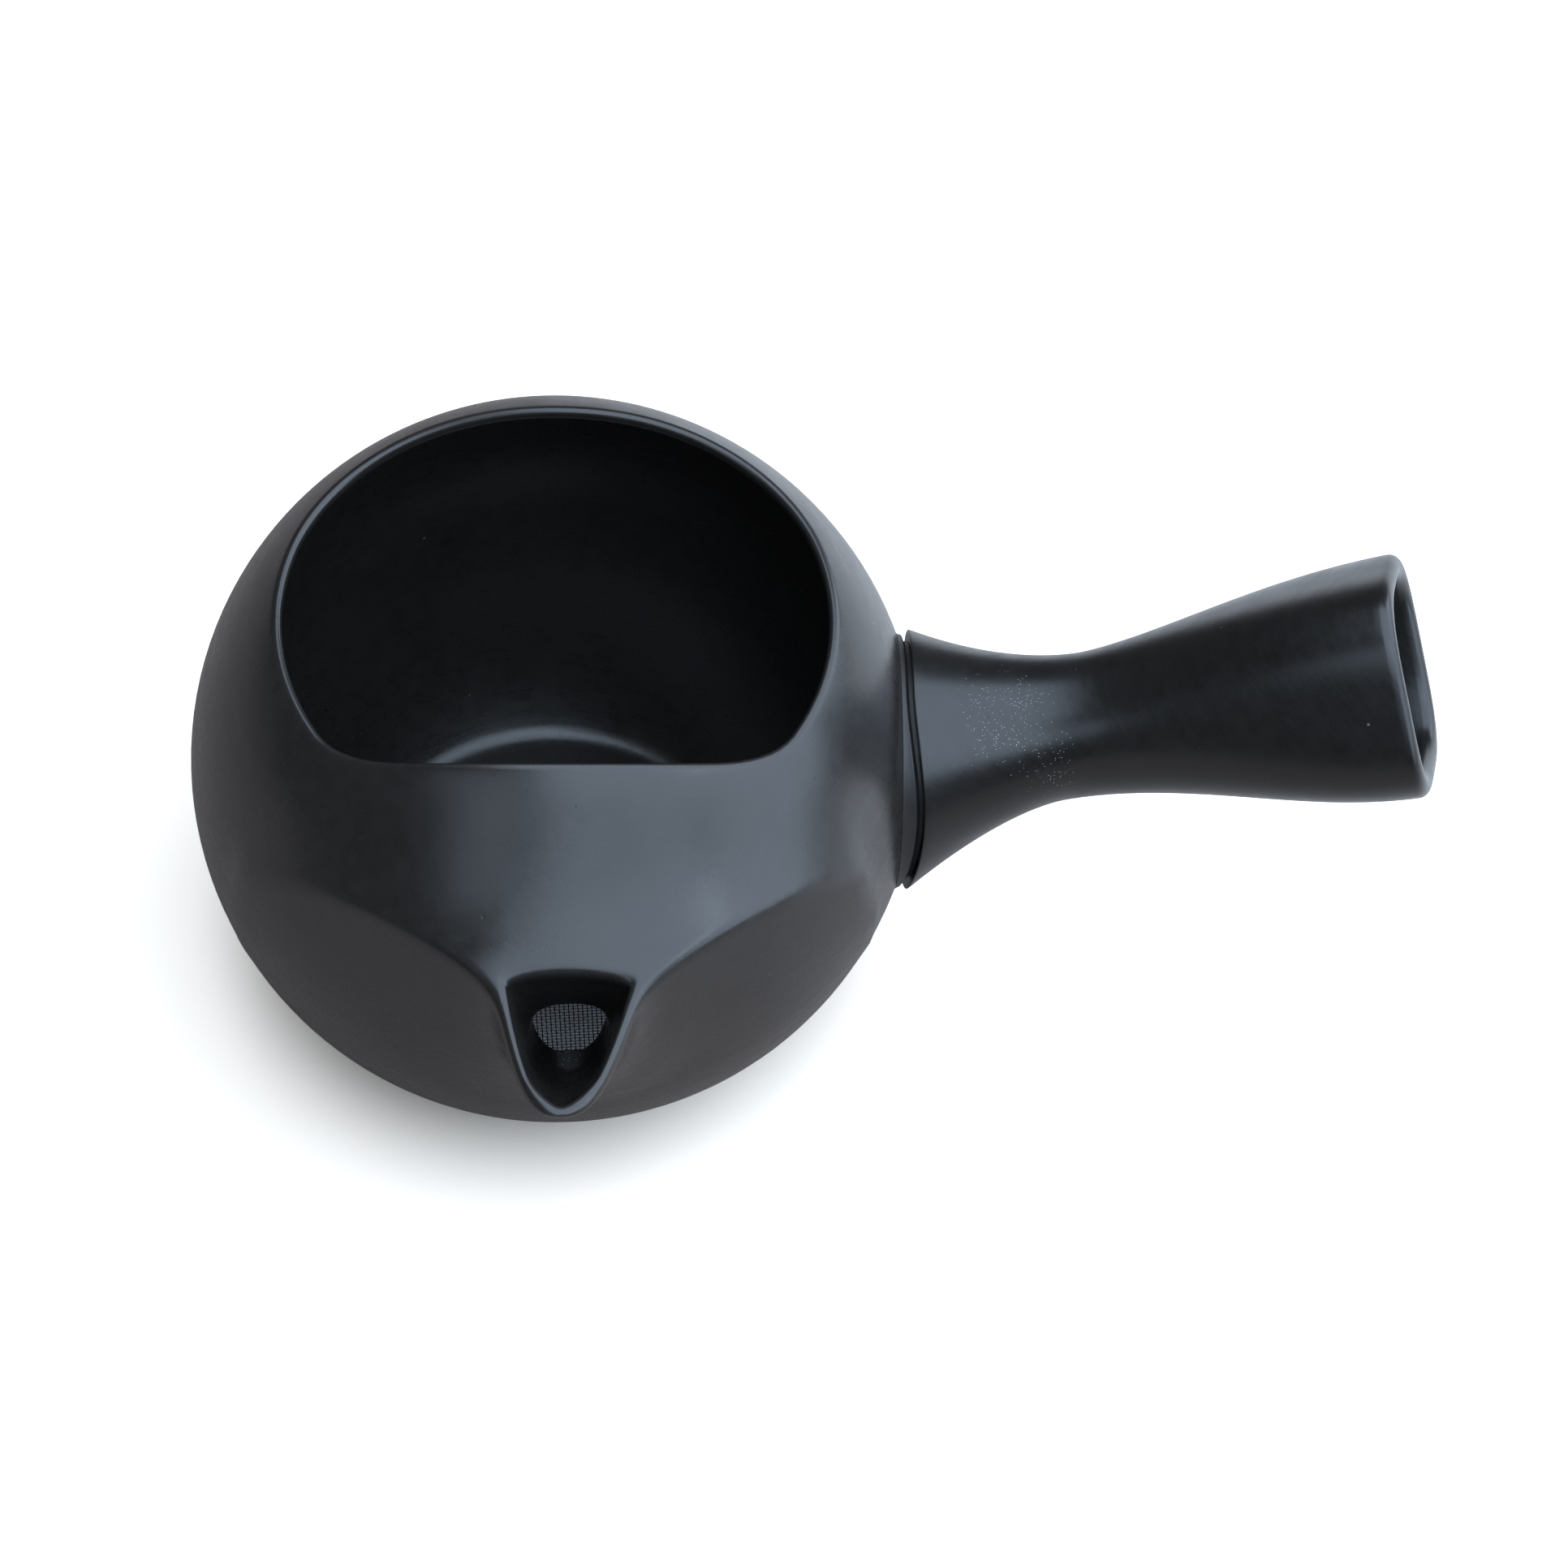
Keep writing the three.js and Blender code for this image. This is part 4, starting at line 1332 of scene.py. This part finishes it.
@dataclass
class Strainer:
    """The woven steel net in its folded rim, set against the inner wall."""

    spout: Spout
    margin: float = 2.7
    rim_width: float = 1.8
    rim_thickness: float = 1.1
    rim_overlap: float = 0.5
    rim_fold: float = 0.32
    rim_nose: tuple[Pair, ...] = ((0.0, 0.39), (0.12, 0.14), (0.5, 0.0))
    rim_sides: int = 72
    fold_rows: int = 6
    net_gap: float = 0.1
    clearance: float = 0.3
    pitch: float = 0.6
    wire: float = 0.14
    wire_sides: int = 6
    steps_per_crossing: int = 3

    def __post_init__(self) -> None:
        """Finds where the net sits and which way it faces."""
        spout, ball = self.spout, self.spout.ball
        self.radius = spout.hole_half_height + self.margin
        x, z = spout.root_side, spout.hole_height
        wall = Vector((x, -math.sqrt(ball.inner_radius**2 - x * x - z * z), z)).normalized()
        outside = self.radius + self.rim_width
        back = math.sqrt((ball.inner_radius - self.clearance) ** 2 - outside**2)
        middle = wall * (back - self.rim_thickness / 2) + Vector((0, 0, ball.lift))
        turn = Vector((0, 0, 1)).rotation_difference(-wall).to_matrix().to_4x4()
        self.place = Matrix.Translation(middle * MM) @ turn

    def _set_in_place(self, piece: bpy.types.Object) -> bpy.types.Object:
        """Moves a piece drawn flat about the origin to its place.

        Args:
            piece: The piece.

        Returns:
            The piece.
        """
        make_active(piece)
        piece.matrix_world = self.place
        bpy.ops.object.transform_apply(location=True, rotation=True, scale=True)
        return piece

    def build_rim(self) -> bpy.types.Object:
        """Draws the strip folded over the net's edge.

        Returns:
            The finished piece.
        """
        inside = self.radius + self.clearance - self.rim_overlap
        outside = self.radius + self.rim_width
        half, fold = self.rim_thickness / 2, self.rim_fold
        nose = [(inside + out, drop - half) for out, drop in self.rim_nose]
        section = list(nose)
        for middle, start in ((fold - half, -90), (half - fold, 0)):
            for angle in np.radians(np.linspace(start, start + 90, self.fold_rows)):
                out = outside - fold + fold * math.cos(angle)
                section.append((out, middle + fold * math.sin(angle)))
        section += [(out, -height) for out, height in nose[::-1]]
        turn = turns_round(self.rim_sides)
        across, along = np.cos(turn), np.sin(turn)
        rings = [points(out * across, out * along, height) for out, height in section]
        drawing = RingDrawing("strainer_rim_steel", rings)
        drawing.close_on_itself()
        return self._set_in_place(drawing.finish())

    def _one_wire(self, name: str, phase: int) -> bpy.types.Object:
        """Draws one wire that runs over and under the wires across it.

        Args:
            name: The wire's name.
            phase: 0 where it starts over a crossing wire, 1 where it starts under.

        Returns:
            The wire, along X.
        """
        count = math.ceil(self.radius / self.pitch)
        steps = self.steps_per_crossing
        turn = turns_round(self.wire_sides)
        across, up = np.cos(turn) * self.wire / 2, np.sin(turn) * self.wire / 2
        rings = []
        for k in range(-count * steps, count * steps + 1):
            x = k * self.pitch / steps
            lift = self.wire / 2 * math.cos(math.pi * (x / self.pitch + phase))
            rings.append(points(x, across, up + lift))
        drawing = RingDrawing(name, rings)
        drawing.close_flat()
        return drawing.finish(smooth_angle=180)

    def build_net(self) -> bpy.types.Object:
        """Weaves the net and trims it to its rim.

        Returns:
            The finished piece.
        """
        count = math.ceil(self.radius / self.pitch)
        sets = []
        for run in WireRun:
            for phase in (0, 1):
                under = phase if run is WireRun.WARP else 1 - phase
                wire = self._one_wire(f"{run.name.lower()}_{phase}", under)
                start = -count + (count + phase) % 2
                make_active(wire)
                array = wire.modifiers.new("rows", "ARRAY")
                array.use_relative_offset = False
                array.use_constant_offset = True
                array.constant_offset_displace = (0, 2 * self.pitch * MM, 0)
                array.count = (count - start) // 2 + 1
                bpy.ops.object.modifier_apply(modifier="rows")
                wire.location = (0, start * self.pitch * MM, 0)
                bpy.ops.object.transform_apply(location=True)
                wire.rotation_euler = (0, 0, math.radians(run.value))
                bpy.ops.object.transform_apply(rotation=True)
                sets.append(wire)
        deselect_all()
        for wire in sets:
            wire.select_set(True)
        bpy.context.view_layer.objects.active = sets[0]
        bpy.ops.object.join()
        net = bpy.context.object
        net.name = net.data.name = "strainer_net_steel"
        self._trim(net)
        return self._set_in_place(net)

    def _trim(self, net: bpy.types.Object) -> None:
        """Cuts the net's wires off inside the rim's fold and closes their ends.

        Args:
            net: The net, flat about the origin.
        """
        bpy.ops.object.mode_set(mode="EDIT")
        bpy.ops.mesh.select_mode(type="VERT")
        bpy.ops.mesh.select_all(action="DESELECT")
        mesh = bmesh.from_edit_mesh(net.data)
        reach = (self.radius + self.clearance - self.net_gap) * MM
        for vert in mesh.verts:
            vert.select_set(vert.co.xy.length > reach)
        bmesh.update_edit_mesh(net.data)
        bpy.ops.mesh.delete(type="VERT")
        bpy.ops.mesh.select_all(action="SELECT")
        bpy.ops.mesh.fill_holes(sides=2 * self.wire_sides)
        bpy.ops.object.mode_set(mode="OBJECT")


# The studio


@dataclass(frozen=True)
class SoftBox:
    """A flat soft light, in metres. Its brightness is its power over pi and its area."""

    name: str
    place: Triple
    faces: Triple
    size: Pair
    brightness: float
    colour: Triple = (0.66, 0.81, 1.0)


@dataclass
class Studio:
    """A floor, four soft lights round the pot, a pale fill and the camera.

    The camera sees the floor whitened by a glow away from the foot, which leaves painted shade round
    the foot on top of its real shadow. The clay mirrors a darker floor with a painted pool of light
    to the handle's side and painted shade far off. These are painted reflections, chosen to bring its
    reflections near the photographed ones. Lengths are in metres, but ball_lift, distance and sensor
    are in millimetres, and picture, focal and ball_at are in the photograph's pixels.
    """

    ball_lift: float
    elevation: float = 55.0
    distance: float = 700.0
    picture: float = 1932.0
    focal: float = 6377.0
    ball_at: Pair = (685.0, 935.0)
    sensor: float = 36.0
    nearest_seen: float = 0.05
    fill_colour: Triple = (0.9, 0.95, 1.0)
    fill_strength: float = 0.1
    floor_size: float = 6.0
    floor_colour: Triple = (0.8, 0.8, 0.8)
    floor_seen: Triple = (1.0, 0.87, 0.74)
    # The camera-ray glow fades out towards the foot. This leaves painted shade round the foot on top
    # of its real shadow.
    floor_glow: float = 0.5
    glow_reach_painted_shade: Pair = (0.03, 0.052)
    # Painted reflection: the floor's colours for glossy rays. They are darker than the floor itself,
    # with a painted pool of light to the handle's side and painted shade far off.
    painted_floor_reflection: Triple = (0.37, 0.3, 0.26)
    painted_pool_reflection: Triple = (1.0, 0.92, 0.85)
    pool: Triple = (0.22, 0.14, 0.0)
    painted_pool_reach: Pair = (0.12, 0.27)
    painted_far_shade: Triple = (0.1, 0.09, 0.08)
    painted_far_shade_reach: Pair = (0.3, 0.7)
    boxes: tuple[SoftBox, ...] = (
        SoftBox("ceiling", (0.4, 0.28, 1.1), (0, 0, -1), (1.4, 1.28), 2.9),
        SoftBox("front", (0.66, -0.98, 1.1), (0, 0, -1), (1.6, 1.24), 3.0),
        SoftBox("window", (1.1, 0.2, 0.55), (-1, 0, 0), (1.95, 1.05), 2.9),
        SoftBox("left", (-0.66, -1.32, 1.1), (0, 0, -1), (0.74, 0.9), 1.5),
    )

    def add_camera(self) -> None:
        """Sets the camera where the photograph was taken from."""
        down = math.radians(self.elevation)
        ahead = Vector((0, math.cos(down), -math.sin(down)))
        right = Vector((1, 0, 0))
        up = right.cross(ahead)
        place = Vector((0, 0, self.ball_lift)) - ahead * self.distance
        half = self.picture / 2
        yaw = math.atan((half - self.ball_at[0]) / self.focal)
        ahead, right = (
            ahead * math.cos(yaw) + right * math.sin(yaw),
            right * math.cos(yaw) - ahead * math.sin(yaw),
        )
        pitch = math.atan((half - self.ball_at[1]) / self.focal * math.cos(yaw))
        ahead, up = (
            ahead * math.cos(pitch) - up * math.sin(pitch),
            up * math.cos(pitch) + ahead * math.sin(pitch),
        )
        data = bpy.data.cameras.new("camera")
        data.sensor_width = self.sensor
        data.lens = self.focal * self.sensor / self.picture
        data.clip_start = self.nearest_seen
        camera = bpy.data.objects.new("camera", data)
        bpy.context.scene.collection.objects.link(camera)
        turn = Matrix((right, up, -ahead)).transposed().to_4x4()
        camera.matrix_world = Matrix.Translation(place * MM) @ turn
        bpy.context.scene.camera = camera

    def add_floor(self) -> None:
        """Lays the floor, which shows itself differently to the camera and to the clay. The camera
        sees a glow that leaves painted shade round the foot, and the clay sees painted reflections.
        """
        deselect_all()
        bpy.ops.mesh.primitive_plane_add(size=self.floor_size, location=(0, 0, 0))
        floor = bpy.context.object
        floor.name = floor.data.name = "floor"
        t = NodeTree("white_sweep_painted_light")
        rays = t.add("LightPath").outputs
        # Painted reflection: glossy rays see a darker floor, with a painted pool of light to the
        # handle's side and painted shade far off.
        painted_pool_share = t.ranged(t.distance(self.pool), *self.painted_pool_reach, 1, 0)
        painted_reflection = t.mixed(painted_pool_share, self.painted_floor_reflection, self.painted_pool_reflection)
        middle = t.distance((0, 0, 0))
        painted_reflection = t.mixed(t.ranged(middle, *self.painted_far_shade_reach, 0, 1), painted_reflection, self.painted_far_shade)
        colour = t.mixed(rays["Is Glossy Ray"], self.floor_colour, painted_reflection)
        colour = t.mixed(rays["Is Camera Ray"], colour, self.floor_seen)
        # Painted shade: the glow is 0 near the foot and grows away from it, so the floor round the
        # foot stays darker than the rest.
        strength = t.ranged(middle, *self.glow_reach_painted_shade, 0, self.floor_glow)
        strength = t.math("MULTIPLY", rays["Is Camera Ray"], strength)
        face = t.add("BsdfDiffuse", Color=colour).outputs[0]
        glow = t.add("Emission", Color=(1, 1, 1, 1), Strength=strength).outputs[0]
        both = t.add("AddShader")
        for source, target in zip((face, glow), both.inputs):
            t.link(source, target)
        t.link(both.outputs[0], t.output.inputs["Surface"])
        floor.data.materials.append(t.material)

    def add_softbox(self, box: SoftBox) -> None:
        """Hangs one soft light.

        Args:
            box: Where it hangs, and how bright it is.
        """
        data = bpy.data.lights.new(box.name, "AREA")
        data.shape = "RECTANGLE"
        data.size, data.size_y = box.size
        data.energy = box.brightness * math.pi * box.size[0] * box.size[1]
        data.color = box.colour
        light = bpy.data.objects.new(box.name, data)
        bpy.context.scene.collection.objects.link(light)
        light.location = box.place
        light.rotation_euler = Vector(box.faces).to_track_quat("-Z", "Y").to_euler()

    def add_world(self) -> None:
        """Fills the room with an even pale light. The camera sees white behind the floor."""
        world = bpy.data.worlds.new("studio")
        world.use_nodes = True
        bpy.context.scene.world = world
        tree = world.node_tree
        tree.nodes.clear()
        output = tree.nodes.new("ShaderNodeOutputWorld")
        rays = tree.nodes.new("ShaderNodeLightPath")
        mix = tree.nodes.new("ShaderNodeMixShader")
        lights = ((self.fill_colour, self.fill_strength), ((1, 1, 1), 1.0))
        for (colour, strength), target in zip(lights, mix.inputs[1:]):
            light = tree.nodes.new("ShaderNodeBackground")
            light.inputs["Color"].default_value = (*colour, 1)
            light.inputs["Strength"].default_value = strength
            tree.links.new(light.outputs[0], target)
        tree.links.new(rays.outputs["Is Camera Ray"], mix.inputs[0])
        tree.links.new(mix.outputs[0], output.inputs["Surface"])

    def build(self) -> None:
        """Sets up the whole studio."""
        self.add_camera()
        self.add_floor()
        self.add_world()
        for box in self.boxes:
            self.add_softbox(box)
        bpy.context.scene.view_settings.view_transform = "Standard"


# Assembly


def dress(piece: bpy.types.Object, material: bpy.types.Material, node: Node) -> None:
    """Gives a piece its material and sets it in the frame in place of a solid.

    Args:
        piece: The piece.
        material: Its material.
        node: The solid that it stands for.
    """
    piece.data.materials.clear()
    piece.data.materials.append(material)
    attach(piece, "root")
    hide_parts(node.value)
    log.info("%s: %d faces", piece.name, len(piece.data.polygons))


def main() -> None:
    """Builds the teapot's pieces in order, then the studio."""
    logging.basicConfig(level=logging.INFO, format="%(name)s %(message)s")
    pot = PotBody()
    handle = Handle(pot.ball)
    strainer = Strainer(pot.spout)
    specks = DustPatch((1.7, -46.3, 38.7), 3.2, 0.8, 0.4)
    body_clay = ClayFinish("rubbed_black_clay", dust=(specks,)).make()
    # Painted shade: the handle's clay is the body's clay with dark and light tones about a third as
    # bright. This matches the dark band of shade and dark reflection on the handle.
    handle_clay = ClayFinish(
        "rubbed_black_clay_handle_painted_shade",
        dark=(0.0045, 0.004, 0.0038),
        light=(0.0078, 0.0068, 0.0062),
        roughness=0.32,
        axis_tilt=90 - handle.tilt,
        axis_swing=handle.swing,
        dust=(DustPatch((60.0, -5.0, 55.5), 9.0, 0.9), DustPatch((64.5, -8.5, 52.5), 7.0, 0.6)),
    ).make()
    coarse = replace(ClayFinish.grain, height=2 * ClayFinish.grain.height)
    slip = ClayFinish("black_slip", dark=(0.012, 0.012, 0.0125), roughness=0.5, grain=coarse).make()
    steel = SteelFinish("drawn_steel_painted_shade").make()
    dress(pot.build(), body_clay, Node.POT_BODY)
    dress(handle.build(), handle_clay, Node.HANDLE)
    dress(handle.build_bead(), slip, Node.LUTING_RING)
    dress(strainer.build_rim(), steel, Node.STRAINER_RIM)
    dress(strainer.build_net(), steel, Node.STRAINER_MESH)
    Studio(pot.ball.lift).build()


if __name__ == "__main__":
    main()
